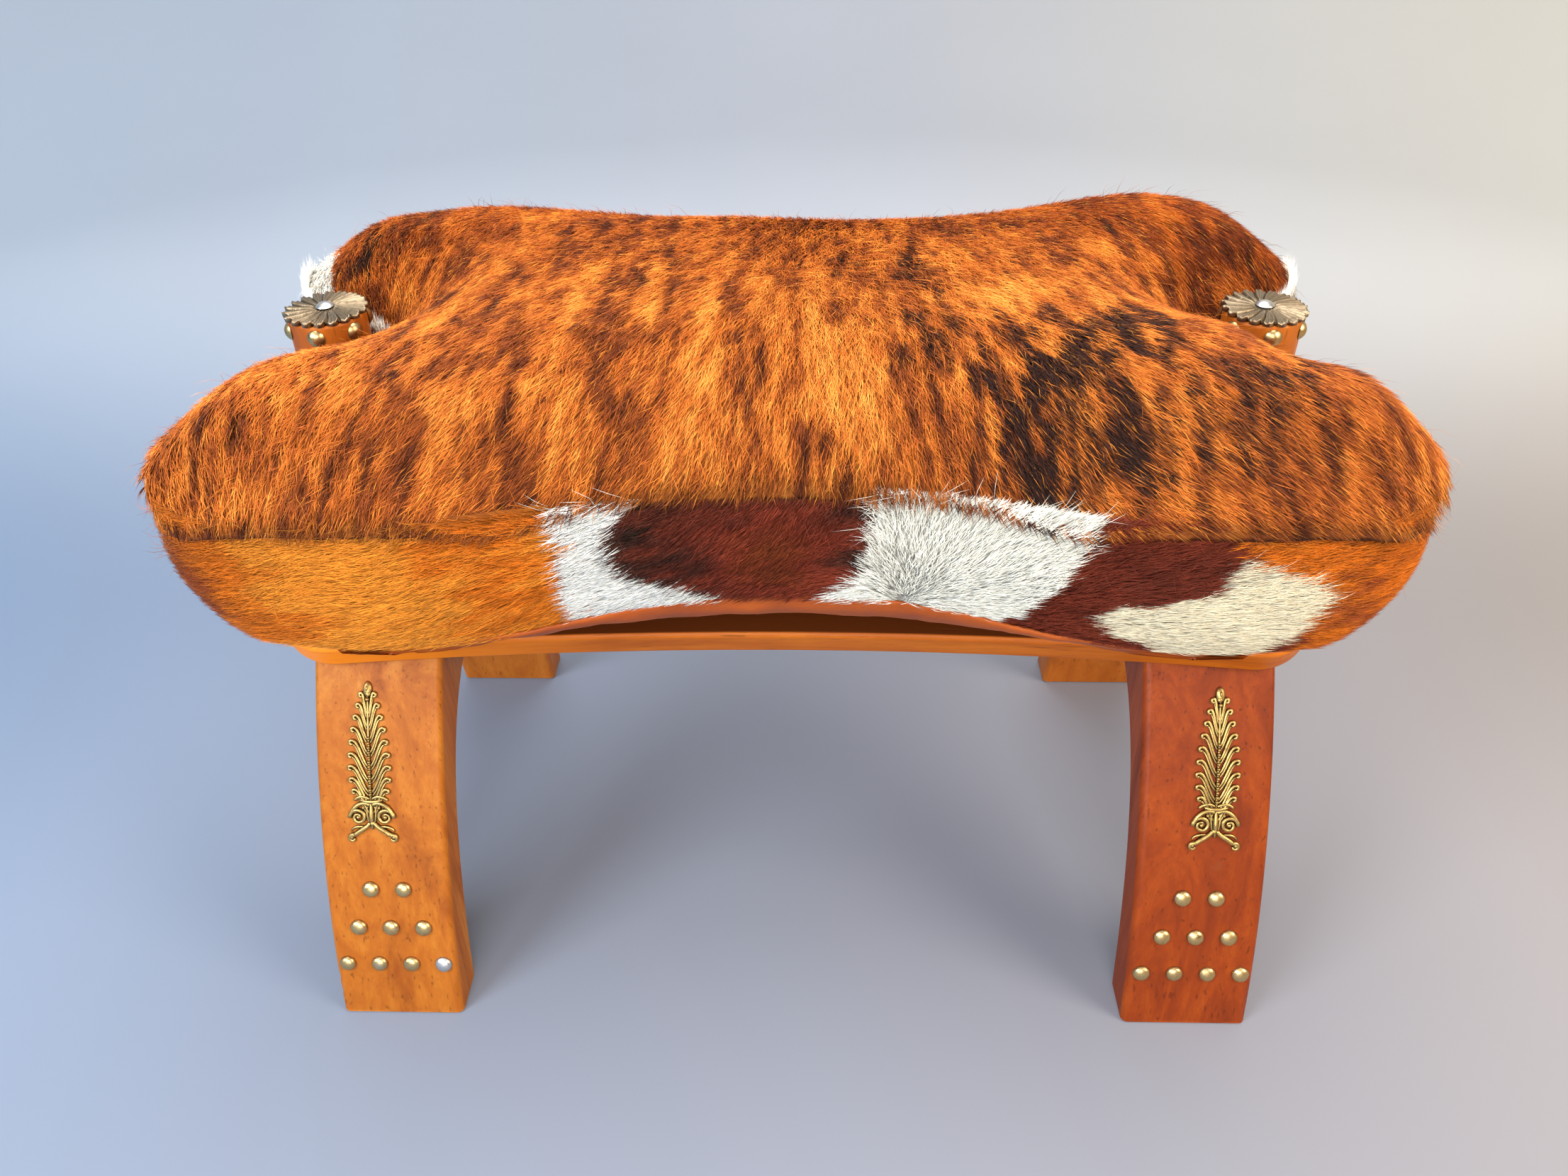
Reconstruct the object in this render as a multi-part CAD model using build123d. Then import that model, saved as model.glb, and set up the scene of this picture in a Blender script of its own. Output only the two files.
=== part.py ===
from build123d import *
import math
import os

# Camel-saddle footstool. Millimetres and degrees, X along the seat, front at -Y, floor at Z = 0.

# Legs: bowed outwards, butted front against rear at the middle of each end
leg_width = 74.0
leg_end_margin = 58.0
foot_reach = 171.2
foot_lean = 12.3
foot_depth = 30.5
leg_top_reach = 79.8
arch_crown_drop = 19.0
arch_foot_handle = 95.0
arch_crown_handle = 88.0
leg_edge_round = 4.0
foot_edge_bevel = 1.2

# Seat boards: planks that slope outwards like a roof
seat_slope = 24.0
seat_edge_height = 203.0
board_gap = 48.0
board_width = 68.0
board_length = 590.0
board_thickness = 20.0
board_hollow = 14.0
board_outer_corner = 35.0
board_inner_corner = 6.0
board_edge_round = 3.0

# Wood screws through the boards into the legs
screw_spacing = 36.0
screw_length = 45.0
screw_radius = 2.1
screw_head_radius = 4.2
screw_head_depth = 3.2
screw_sink = 1.0
screw_slot_width = 1.1
screw_slot_depth = 1.2

# Dowels between the front and rear legs
dowel_radius = 4.0
dowel_length = 50.0
dowel_spacing = 38.0
dowel_cover = 8.5

# Pommels: turned posts with a tenon in the legs
pommel_beyond_leg = 12.4
pommel_rise = 180.0
pommel_foot_radius = 22.5
pommel_neck_radius = 20.5
pommel_neck_height = 24.0
pommel_edge_round = 1.5
tenon_radius = 11.0
tenon_length = 26.0

# Dome tacks, pins and nails
tack_radius = 4.8
tack_height = 2.7
tack_shank_radius = 1.0
tack_shank_length = 10.0
driven_clearance = 0.05
post_tack_count = 6
post_tack_drop = 6.6
leg_tack_rows = (4, 3, 2)
leg_tack_height_shares = (0.327, 0.54, 0.752)
leg_tack_spacing = 19.3
cap_nail_height = 2.2

# Sunburst caps
cap_radius = 22.0
cap_thickness = 3.4
cap_hub_radius = 6.6
petal_count = 18
petal_tip_radius = 3.9
petal_groove_depth = 1.6
petal_groove_half_width = 0.9
petal_flute_depth = 0.8
petal_flute_half_width = 0.7

# Palmettes, drawn upright from their lowest point and curved to the face of the leg
palmette_beyond_leg = 5.0
palmette_drop = 90.0
palmette_height = 95.0
palmette_relief = 1.5
palmette_stem_relief = 2.3
frond_tip_reach = (11.3, 12.8, 13.3, 12.5, 11.5, 9.3, 8.2, 6.3)
frond_tip_height = (35.7, 42.8, 51.5, 59.3, 66.0, 72.4, 79.0, 84.7)
frond_root_height = (27.6, 31.0, 36.4, 43.0, 49.8, 58.0, 66.7, 74.7)
frond_root_width = 3.2
frond_tip_width = 1.5
frond_curl_radius = 1.25
frond_upper_mid_shares = (0.30, 0.80)
frond_lower_mid_shares = (0.46, 0.60)
stem_foot_height = 22.0
stem_foot_half_width = 1.7
stem_top_half_width = 0.8
bead_count = 8
bead_first_height = 28.3
bead_step = 3.0
bead_radius = 1.1
finial_height = 8.5
finial_half_width = 2.9
finial_pin_drop = 6.5
bow_reach = 6.0
bow_height = 26.6
bow_knob_radius = 2.1
bow_arm_half_width = 1.1
collar_height = 21.3
collar_half_width = 4.2
collar_half_thickness = 1.3
volute_reach = 8.4
volute_height = 16.6
volute_radius = 6.3
volute_band = 2.1
volute_eye_radius = 2.0
tail_tip_height = 6.0
tail_half_width = 2.2
spray_root_height = 10.5
spray_reach = 12.4
spray_tip_height = 2.2
spray_half_width = 1.9
spray_curl_radius = 2.1
lower_pin_height = 12.0
pin_head_radius = 1.5
pin_head_height = 0.8
pin_shank_radius = 0.6
pin_shank_length = 9.0

# Cushion outline at the upper seam: a notch round each pommel, two lobes at each end and a waist
notch_radius = 28.5
lobe_short_of_pommel = 5.5
lobe_y = 108.6
lobe_radius = 57.8
haunch_radius = 99.6
shoulder_radius = 286.6
waist_half_depth = 138.0
waist_radius = 393.3

# Cushion crown: a steep rim that follows the seam, then a stuffed top with plumper lobes
seam_rise = 153.0
crown_rise = 52.0
crown_rim_reach = 30.0
crown_insets = (6.0, 15.0, 26.0, 40.0)
crown_inset_rises = (10.6, 20.8, 32.6, 60.0)
crown_stations = (8, 5)
crown_station_step = 42.0
crown_fit = 0.5
crown_depth_limit = 12.0
swell_x = 215.0
swell_y = 92.0
swell_reach = 62.0
swell_rises = (-4.0, 8.0, 3.0, 9.0)

# Cushion band and base: each ring's height below the upper seam, and its insets at waist and lobes
band_ring_drops = (98.0, 76.0, 59.3, 38.0, 15.2, 0.0)
band_waist_insets = (34.0, 20.0, 7.0, -3.4, -4.0, 0.0)
band_lobe_insets = (17.0, 9.5, 4.5, -2.0, -3.5, 0.0)
band_foot_drop = 76.0
band_foot_sag = 11.0
base_ring_drops = (134.0, 112.0, 96.0, 84.0, 62.0)
base_waist_insets = (70.0, 56.0, 37.0, 25.0, 13.0)
base_lobe_insets = (46.0, 34.0, 21.0, 13.5, 7.0)
base_underside_slope = 47.0
base_rest_gap = 0.3
base_slot_rise = 18.3
hide_thickness = 3.0
base_leather_thickness = 2.5
filling_clearance = 0.3
band_seam_x = 102.0
band_seam_gap = 0.4

# One overrun serves all cuts
overrun = 5.0

# Sizes worked out from the ones above
board_drop = board_width * math.sin(math.radians(seat_slope))
board_run = board_width * math.cos(math.radians(seat_slope))
seat_edge_y = board_gap / 2 + board_run
leg_top_height = seat_edge_height + board_drop
arch_crown_height = seat_edge_height - arch_crown_drop
leg_centre_x = board_length / 2 - leg_end_margin
palmette_x = leg_centre_x + palmette_beyond_leg
palmette_foot_height = seat_edge_height - palmette_drop
pommel_x = leg_centre_x + pommel_beyond_leg
pommel_top_height = seat_edge_height + pommel_rise
lobe_x = pommel_x - lobe_short_of_pommel
seam_height = seat_edge_height + seam_rise
leg_draw_in = foot_reach - leg_top_reach
leg_chord_offset = (leg_draw_in * math.cos(math.radians(foot_lean))
                    - seat_edge_height * math.sin(math.radians(foot_lean)))
leg_face_radius = (leg_draw_in**2 + seat_edge_height**2) / (2 * leg_chord_offset)
leg_face_y = foot_reach - leg_face_radius * math.cos(math.radians(foot_lean))
leg_face_z = -leg_face_radius * math.sin(math.radians(foot_lean))
board_top_edge_y = seat_edge_y + board_thickness * math.sin(math.radians(seat_slope))
board_top_edge_z = seat_edge_height + board_thickness * math.cos(math.radians(seat_slope))

os.makedirs("parts", exist_ok=True)


def save(name, *solids):
    """Write one sub-part, a solid or a group of separate solids."""
    shape = solids[0] if len(solids) == 1 else Compound(children=list(solids))
    export_step(shape, f"parts/{name}.step")


def along(start, direction, distance):
    """Point at a distance from start along a flat direction."""
    return (start[0] + direction[0] * distance, start[1] + direction[1] * distance)


def face_point(height):
    """Reach of the leg's outer face at a height, and its outward direction as (reach, height)."""
    rise = height - leg_face_z
    run = math.sqrt(leg_face_radius**2 - rise**2)
    return leg_face_y + run, (run / leg_face_radius, rise / leg_face_radius)


def face_plane(x, height):
    """Plane on the front leg's outer face: local Z points outwards and local Y up the leg."""
    reach, normal = face_point(height)
    return Plane(origin=(x, -reach, height), x_dir=(1, 0, 0), z_dir=(0, -normal[0], normal[1]))


def seat_corner():
    """Where the leg's outer face meets the sloping seat, as (reach, height)."""
    slope = math.radians(seat_slope)
    step = (-math.cos(slope), math.sin(slope))
    offset = (seat_edge_y - leg_face_y, seat_edge_height - leg_face_z)
    half = step[0] * offset[0] + step[1] * offset[1]
    distance = -half - math.sqrt(half**2 - offset[0] ** 2 - offset[1] ** 2 + leg_face_radius**2)
    return along((seat_edge_y, seat_edge_height), step, distance)


def leg_blank():
    """Front right leg without its holes."""
    corner = seat_corner()
    middle, _ = face_point(corner[1] / 2)
    lean = math.radians(foot_lean)
    heel = (foot_reach - foot_depth, 0)
    heel_handle = along(heel, (-math.sin(lean), math.cos(lean)), arch_foot_handle)
    outline = [
        ThreePointArc((foot_reach, 0), (middle, corner[1] / 2), corner),
        Line(corner, (board_gap / 2, leg_top_height)),
        Line((board_gap / 2, leg_top_height), (0, leg_top_height)),
        Line((0, leg_top_height), (0, arch_crown_height)),
        Bezier((0, arch_crown_height), (arch_crown_handle, arch_crown_height), heel_handle, heel),
        Line(heel, (foot_reach, 0)),
    ]
    profile = Plane(origin=(leg_centre_x, 0, 0), x_dir=(0, -1, 0), z_dir=(-1, 0, 0)) * make_face(outline)
    blank = extrude(profile, amount=leg_width / 2, both=True)
    long_edges = blank.edges().filter_by(GeomType.CIRCLE) + blank.edges().filter_by(GeomType.BEZIER)
    blank = fillet(long_edges, leg_edge_round)
    return chamfer(blank.faces().sort_by(Axis.Z)[0].edges(), foot_edge_bevel)


def board_plane():
    """Plane of the front board's underside, at its inner edge; local Y points up the slope."""
    slope = math.radians(seat_slope)
    origin = (0, -board_gap / 2, leg_top_height)
    return Plane(origin=origin, x_dir=(1, 0, 0), z_dir=(0, -math.sin(slope), math.cos(slope)))


def screw_places():
    """The four screws of one board, in its plane."""
    places = []
    for side in (-1, 1):
        for step in (-1, 1):
            places.append((side * leg_centre_x + step * screw_spacing / 2, -board_width / 2))
    return places


def screw_form(growth):
    """Countersunk screw standing at the board's underside, or its hole when grown."""
    top = board_thickness - screw_sink
    shoulder = top - screw_head_depth
    tip = top - screw_length
    radius = screw_radius + growth
    outline = Polyline(
        (0, tip - growth),
        (radius, tip - growth),
        (radius, shoulder),
        (screw_head_radius + growth, top),
        (0, top),
        close=True,
    )
    return revolve(Plane.XZ * make_face(outline), Axis.Z)


def screw():
    """One countersunk wood screw with its driving slot."""
    slot = Box(2 * screw_head_radius, screw_slot_width, 2 * screw_slot_depth)
    return screw_form(0) - Pos(0, 0, board_thickness - screw_sink) * slot


def screw_hole():
    """Hole for one screw, open at the board's top face."""
    top = board_thickness - screw_sink
    mouth = Cylinder(screw_head_radius + driven_clearance, screw_sink + overrun,
                     align=(Align.CENTER, Align.CENTER, Align.MIN))
    return screw_form(driven_clearance) + Pos(0, 0, top) * mouth


def seat_board():
    """Front seat board with its screw holes."""
    half = board_length / 2
    outline = [
        Line((-half, 0), (half, 0)),
        Line((half, 0), (half, -board_width)),
        ThreePointArc((half, -board_width), (0, board_hollow - board_width), (-half, -board_width)),
        Line((-half, -board_width), (-half, 0)),
    ]
    plan = make_face(outline)
    corners = plan.vertices().sort_by(Axis.Y)
    plan = fillet(corners[:2], board_outer_corner)
    corners = plan.vertices().sort_by(Axis.Y)
    plan = fillet(corners[-2:], board_inner_corner)
    plank = extrude(plan, amount=board_thickness)
    rims = plank.faces().sort_by(Axis.Z)
    plank = fillet(rims[0].edges() + rims[-1].edges(), board_edge_round)
    for x, y in screw_places():
        plank -= Pos(x, y, 0) * screw_hole()
    return board_plane() * plank


def dome_tack(radius, height, shank_radius, shank_length):
    """Nail with a domed head; its underside is at local Z = 0 and the shank points down."""
    sphere_radius = (radius**2 + height**2) / (2 * height)
    bow_angle = math.asin(radius / sphere_radius) / 2
    bow = (sphere_radius * math.sin(bow_angle), height - sphere_radius * (1 - math.cos(bow_angle)))
    outline = [
        ThreePointArc((0, height), bow, (radius, 0)),
        Line((radius, 0), (shank_radius, 0)),
        Line((shank_radius, 0), (shank_radius, -shank_length + shank_radius)),
        Line((shank_radius, -shank_length + shank_radius), (0, -shank_length)),
        Line((0, -shank_length), (0, height)),
    ]
    return revolve(Plane.XZ * make_face(outline), Axis.Z)


def nail_hole(shank_radius, shank_length):
    """Hole for a nail's shank, open at local Z = 0."""
    radius = shank_radius + driven_clearance
    depth = shank_length + overrun + driven_clearance
    return Pos(0, 0, overrun) * Cylinder(radius, depth, align=(Align.CENTER, Align.CENTER, Align.MAX))


def leg_tack_planes():
    """Places of the nine tacks on the front right leg, in rows below the palmette."""
    planes = []
    for height_share, count in zip(leg_tack_height_shares, leg_tack_rows):
        height = height_share * palmette_foot_height
        for index in range(count):
            x = leg_centre_x + (index - (count - 1) / 2) * leg_tack_spacing
            planes.append(face_plane(x, height))
    return planes


def palmette_plane():
    """Plane on the face of the front right leg at the palmette's lowest point."""
    reach, normal = face_point(palmette_foot_height + palmette_height / 2)
    foot_reach_here, _ = face_point(palmette_foot_height)
    origin = (palmette_x, -foot_reach_here, palmette_foot_height)
    return Plane(origin=origin, x_dir=(1, 0, 0), z_dir=(0, -normal[0], normal[1]))


def palmette_pin_planes():
    """Places of the palmette's two pins, each square to the face of the leg."""
    rise = palmette_plane().y_dir.Z
    heights = (lower_pin_height, palmette_height - finial_pin_drop)
    return [face_plane(palmette_x, palmette_foot_height + height * rise) for height in heights]


def face_shell(relief):
    """The layer that lies on the leg's face, as thick as the relief."""
    centre = Pos(palmette_x, -leg_face_y, leg_face_z) * Rot(0, 90, 0)
    outer = centre * Cylinder(leg_face_radius + relief, leg_width)
    return outer - centre * Cylinder(leg_face_radius, leg_width + 2 * overrun)


def frond(index):
    """One curled frond on the +X side, as a flat face."""
    root = frond_root_height[index]
    reach = frond_tip_reach[index]
    rise = frond_tip_height[index] - root
    upper_x, upper_z = frond_upper_mid_shares
    lower_x, lower_z = frond_lower_mid_shares
    tip_top = (reach, root + rise)
    tip_low = (reach, root + rise - frond_tip_width)
    outline = [
        Line((0, root - frond_root_width / 2), (0, root + frond_root_width / 2)),
        ThreePointArc((0, root + frond_root_width / 2), (upper_x * reach, root + upper_z * rise), tip_top),
        Line(tip_top, tip_low),
        ThreePointArc(tip_low, (lower_x * reach, root + lower_z * rise), (0, root - frond_root_width / 2)),
    ]
    curl = Pos(reach, root + rise - frond_curl_radius) * Circle(frond_curl_radius)
    return make_face(outline) + curl


def bar(start, end, half_width):
    """Straight bar between two points, as a flat face."""
    length = math.dist(start, end)
    angle = math.degrees(math.atan2(end[1] - start[1], end[0] - start[0]))
    middle = ((start[0] + end[0]) / 2, (start[1] + end[1]) / 2)
    return Pos(*middle) * Rot(0, 0, angle) * Rectangle(length, 2 * half_width)


def palmette_side():
    """Everything on the +X side of the palmette's middle line, as a flat face."""
    side = Pos(bow_reach, bow_height) * Circle(bow_knob_radius)
    for index in range(len(frond_tip_reach)):
        side += frond(index)
    side += bar((0, bow_height - bow_knob_radius), (bow_reach, bow_height), bow_arm_half_width)
    volute = Circle(volute_radius) - Circle(volute_radius - volute_band) + Circle(volute_eye_radius)
    side += Pos(volute_reach, volute_height) * volute
    side += bar((0, volute_height), (volute_reach, volute_height - volute_radius + volute_band / 2),
                volute_band / 2)
    side += bar((volute_reach, volute_height), (volute_reach + volute_radius - volute_band / 2, volute_height),
                volute_band / 2)
    side += bar((0, spray_root_height), (spray_reach, spray_tip_height), spray_half_width)
    return side + Pos(spray_reach, spray_tip_height) * Circle(spray_curl_radius)


def palmette_middle():
    """Stem, collar, tail and finial, as a flat face."""
    stem_top = palmette_height - finial_height
    stem = Polyline(
        (-stem_foot_half_width, stem_foot_height),
        (stem_foot_half_width, stem_foot_height),
        (stem_top_half_width, stem_top),
        (-stem_top_half_width, stem_top),
        close=True,
    )
    tail = Polyline(
        (-tail_half_width, collar_height),
        (tail_half_width, collar_height),
        (tail_half_width / 2, spray_root_height),
        (0, tail_tip_height),
        (-tail_half_width / 2, spray_root_height),
        close=True,
    )
    finial = [
        ThreePointArc((0, stem_top - stem_top_half_width), (finial_half_width, stem_top + finial_height / 3),
                      (0, palmette_height)),
        ThreePointArc((0, palmette_height), (-finial_half_width, stem_top + finial_height / 3),
                      (0, stem_top - stem_top_half_width)),
    ]
    collar = Rectangle(2 * collar_half_width, 2 * collar_half_thickness)
    return make_face(stem) + make_face(tail) + make_face(finial) + Pos(0, collar_height) * collar


def palmette():
    """Brass palmette on the front right leg: a flat layer of ornament with a raised middle."""
    side = palmette_side()
    middle = palmette_middle()
    plane = palmette_plane()
    depth = leg_width / 2
    flat = middle + side + mirror(side, about=Plane.YZ)
    body = extrude(plane * flat, amount=depth, both=True) & face_shell(palmette_relief)
    beads = Sketch() + [
        Pos(0, bead_first_height + index * bead_step) * Circle(bead_radius) for index in range(bead_count)
    ]
    knobs = Sketch() + [Pos(side_sign * bow_reach, bow_height) * Circle(bow_knob_radius / 2)
                        for side_sign in (-1, 1)]
    raised = beads + knobs
    body += extrude(plane * raised, amount=depth, both=True) & face_shell(palmette_stem_relief)
    for pin_plane in palmette_pin_planes():
        body -= pin_plane * nail_hole(pin_shank_radius, pin_shank_length)
    return body


def pommel():
    """Turned right-hand post with its tenon; the neck under the cap is straight."""
    height = pommel_top_height - leg_top_height
    neck = height - pommel_neck_height
    outline = Polyline(
        (0, -tenon_length),
        (tenon_radius, -tenon_length),
        (tenon_radius, 0),
        (pommel_foot_radius, 0),
        (pommel_neck_radius, neck),
        (pommel_neck_radius, height),
        (0, height),
        close=True,
    )
    post = revolve(Plane.XZ * make_face(outline), Axis.Z)
    rims = post.edges().filter_by(GeomType.CIRCLE).sort_by(Axis.Z)
    post = fillet(rims[-1], pommel_edge_round)
    post -= Pos(0, 0, height) * nail_hole(tack_shank_radius, tack_shank_length)
    post = Pos(pommel_x, 0, leg_top_height) * post
    for plane in post_tack_planes():
        post -= plane * nail_hole(tack_shank_radius, tack_shank_length)
    return post


def post_tack_planes():
    """Places of the tacks round the right-hand pommel's neck, the first one facing the front."""
    planes = []
    height = pommel_top_height - post_tack_drop
    for index in range(post_tack_count):
        turn = math.radians(index * 360 / post_tack_count - 90)
        outward = (math.cos(turn), math.sin(turn), 0)
        origin = (pommel_x + pommel_neck_radius * outward[0], pommel_neck_radius * outward[1], height)
        planes.append(Plane(origin=origin, x_dir=(0, 0, 1), z_dir=outward))
    return planes


def wedge(half_width, depth, length):
    """V-shaped cutter along X, its point down, starting at the origin and open at the top."""
    slant = half_width * (depth + overrun) / depth
    profile = Polyline((0, -depth), (slant, overrun), (-slant, overrun), close=True)
    section = Plane(origin=(0, 0, 0), x_dir=(0, 1, 0), z_dir=(1, 0, 0)) * make_face(profile)
    return extrude(section, amount=length)


def pommel_cap():
    """Sunburst cap of the right-hand pommel: petals with a groove between them and a flute in each."""
    ring = cap_radius - petal_tip_radius
    plan = Circle(ring)
    for index in range(petal_count):
        plan += Rot(0, 0, index * 360 / petal_count) * Pos(ring, 0) * Circle(petal_tip_radius)
    cap = extrude(plan, amount=cap_thickness)
    top = Pos(cap_hub_radius, 0, cap_thickness)
    groove = top * wedge(petal_groove_half_width, petal_groove_depth, cap_radius)
    flute = top * wedge(petal_flute_half_width, petal_flute_depth, cap_radius)
    for index in range(petal_count):
        cap -= Rot(0, 0, (index + 0.5) * 360 / petal_count) * groove
        cap -= Rot(0, 0, index * 360 / petal_count) * flute
    cap -= Cylinder(tack_shank_radius + driven_clearance, 2 * (cap_thickness + overrun))
    return Pos(pommel_x, 0, pommel_top_height) * cap


def cap_nail():
    """Domed nail through the right-hand cap."""
    shank = tack_shank_length + cap_thickness - driven_clearance
    nail = dome_tack(tack_radius, cap_nail_height, tack_shank_radius, shank)
    return Pos(pommel_x, 0, pommel_top_height + cap_thickness) * nail


def dowel_places():
    """X positions of the two dowels at the right-hand end."""
    return [leg_centre_x - dowel_spacing / 2, leg_centre_x + dowel_spacing / 2]


def dowel(growth):
    """One dowel across the joint between front and rear leg, or its hole when grown."""
    pin = Cylinder(dowel_radius + growth, dowel_length + 2 * growth)
    return Pos(0, 0, arch_crown_height + dowel_cover) * Rot(90, 0, 0) * pin


def leg():
    """Front right leg with every hole that its fasteners and the pommel need."""
    solid = leg_blank()
    for x in dowel_places():
        solid -= Pos(x, 0, 0) * dowel(driven_clearance)
    tenon = Cylinder(tenon_radius + driven_clearance, tenon_length + driven_clearance + overrun,
                     align=(Align.CENTER, Align.CENTER, Align.MIN))
    solid -= Pos(pommel_x, 0, leg_top_height - tenon_length - driven_clearance) * tenon
    for x, y in screw_places()[2:]:
        solid -= board_plane() * Pos(x, y, 0) * screw_form(driven_clearance)
    for plane in leg_tack_planes():
        solid -= plane * nail_hole(tack_shank_radius, tack_shank_length)
    for plane in palmette_pin_planes():
        solid -= plane * nail_hole(pin_shank_radius, pin_shank_length)
    return solid


def meeting_point(first, first_reach, second, second_reach):
    """The point at a given distance from each of two centres, on the left of the line between them."""
    gap = math.dist(first, second)
    foot = (first_reach**2 - second_reach**2 + gap**2) / (2 * gap)
    side = math.sqrt(first_reach**2 - foot**2)
    ux = (second[0] - first[0]) / gap
    uy = (second[1] - first[1]) / gap
    return (first[0] + foot * ux - side * uy, first[1] + foot * uy + side * ux)


def toward(centre, target, radius):
    """Point on the circle round centre in the direction of target."""
    gap = math.dist(centre, target)
    share = radius / gap
    return (centre[0] + (target[0] - centre[0]) * share, centre[1] + (target[1] - centre[1]) * share)


def bisector(centre, start, end, radius):
    """Middle point of the arc from start to end round centre."""
    middle = ((start[0] + end[0]) / 2, (start[1] + end[1]) / 2)
    return toward(centre, middle, radius)


def quadrant(inset, lobe_inset):
    """Joints and middle points of the outline's arcs from the notch to the waist, in X > 0, Y > 0."""
    notch = (pommel_x, 0.0)
    lobe = (lobe_x, lobe_y)
    waist = (0.0, waist_half_depth + waist_radius)
    notch_arc = notch_radius + lobe_inset
    haunch_arc = haunch_radius - lobe_inset
    lobe_arc = lobe_radius - lobe_inset
    shoulder_arc = shoulder_radius - lobe_inset
    waist_arc = waist_radius + inset
    haunch = meeting_point(notch, haunch_arc + notch_arc, lobe, haunch_arc - lobe_arc)
    shoulder = meeting_point(lobe, shoulder_arc - lobe_arc, waist, shoulder_arc + waist_arc)
    joints = [
        toward(notch, haunch, notch_arc),
        toward(haunch, lobe, haunch_arc),
        toward(shoulder, lobe, shoulder_arc),
        toward(waist, shoulder, waist_arc),
    ]
    middles = [
        bisector(haunch, joints[0], joints[1], haunch_arc),
        bisector(lobe, joints[1], joints[2], lobe_arc),
        bisector(shoulder, joints[2], joints[3], shoulder_arc),
    ]
    return joints, middles


def cushion_ring(height, inset, lobe_inset):
    """Closed outline of tangent arcs, set in from the upper seam."""
    joints, middles = quadrant(inset, lobe_inset)
    notch_x = pommel_x - notch_radius - lobe_inset
    waist_y = waist_half_depth - inset
    corners = []
    for sx, sy in ((1, 1), (-1, 1), (-1, -1), (1, -1)):
        chain = [joints[0], middles[0], joints[1], middles[1], joints[2], middles[2], joints[3]]
        corner = [(sx * x, sy * y) for x, y in chain]
        corners.append(corner if sx * sy > 0 else corner[::-1])
    edges = []
    bridges = ((0, waist_y), (-notch_x, 0), (0, -waist_y), (notch_x, 0))
    for index, corner in enumerate(corners):
        for start in (0, 2, 4):
            edges.append(corner[start:start + 3])
        following = corners[(index + 1) % len(corners)]
        edges.append((corner[-1], bridges[index], following[0]))
    return Pos(0, 0, height) * make_face([ThreePointArc(*points) for points in edges])


def crown_height(x, y, outline):
    """Height of the stuffed top: it levels off away from the seam and swells at the four lobes."""
    depth = outline.outer_wire().distance_to(Vertex(x, y, seam_height))
    if not outline.is_inside((x, y, seam_height)):
        depth = -min(depth, crown_depth_limit)
    height = seam_height + crown_rise * (1 - math.exp(-depth / crown_rim_reach))
    lobes = ((-swell_x, -swell_y), (swell_x, -swell_y), (-swell_x, swell_y), (swell_x, swell_y))
    for lobe, rise in zip(lobes, swell_rises):
        height += rise * math.exp(-(math.dist((x, y), lobe) / swell_reach) ** 2)
    return height


def stuffed_top():
    """The smooth surface over the whole cushion, taken through a grid of stations."""
    outline = cushion_ring(seam_height, 0, 0).face()
    rows = []
    for across in range(-crown_stations[0], crown_stations[0] + 1):
        x = across * crown_station_step
        row = []
        for along_y in range(-crown_stations[1], crown_stations[1] + 1):
            y = along_y * crown_station_step
            row.append(Vector(x, y, crown_height(x, y, outline)))
        rows.append(row)
    return Face.make_surface_from_array_of_points(rows, tol=crown_fit)


def crown(inset, drop):
    """Everything above the upper seam, set in and lowered for an inner surface."""
    rings = [cushion_ring(seam_height, inset, inset)]
    for ring_inset, rise in zip(crown_insets, crown_inset_rises):
        rings.append(cushion_ring(seam_height + rise, inset + ring_inset, inset + ring_inset))
    below = extrude(Pos(0, 0, -drop) * top_surface, amount=seam_rise, dir=(0, 0, -1))
    return loft(rings) & below


def walls(drops, waist_insets, lobe_insets, inset):
    """The cushion's sides through rings below the upper seam, set in for an inner surface."""
    rings = []
    for drop, waist_inset, lobe_inset in zip(drops, waist_insets, lobe_insets):
        rings.append(cushion_ring(seam_height - drop, inset + waist_inset, inset + lobe_inset))
    return loft(rings)


def below_lower_seam():
    """All the room under the arched seam between band and base."""
    foot = seam_height - band_foot_drop
    span = lobe_x + lobe_radius
    low = foot - band_foot_sag
    outline = [
        ThreePointArc((-span, low), (0, foot), (span, low)),
        Line((span, low), (span, 0)),
        Line((span, 0), (-span, 0)),
        Line((-span, 0), (-span, low)),
    ]
    return extrude(Plane.XZ * make_face(outline), amount=span, both=True)


def band(inset):
    """The band between the two seams: drawn in at its foot and swollen in the middle."""
    return walls(band_ring_drops, band_waist_insets, band_lobe_insets, inset) - below_lower_seam()


def saddle_cutter(gap):
    """What the boards and the slanted underside leave no room for, the given gap above the boards."""
    slope = math.tan(math.radians(seat_slope))
    lift = gap / math.cos(math.radians(seat_slope))
    edge = (board_top_edge_y, board_top_edge_z + lift)
    far_y = lobe_y + lobe_radius + overrun
    far_z = edge[1] + (far_y - edge[0]) * math.tan(math.radians(base_underside_slope))
    slot_z = leg_top_height + base_slot_rise + gap
    slot_y = edge[0] - (slot_z - edge[1]) / slope
    right = [(slot_y, slot_z), edge, (far_y, far_z), (far_y, 0)]
    left = [(-y, z) for y, z in reversed(right)]
    outline = Polyline(*right, *left, close=True)
    section = Plane(origin=(0, 0, 0), x_dir=(0, 1, 0), z_dir=(1, 0, 0)) * make_face(outline)
    return extrude(section, amount=board_length, both=True)


def base(inset, gap):
    """The cushion below the lower seam, resting on the boards."""
    sides = walls(base_ring_drops, base_waist_insets, base_lobe_insets, inset)
    return (sides & below_lower_seam()) - saddle_cutter(gap)


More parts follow.
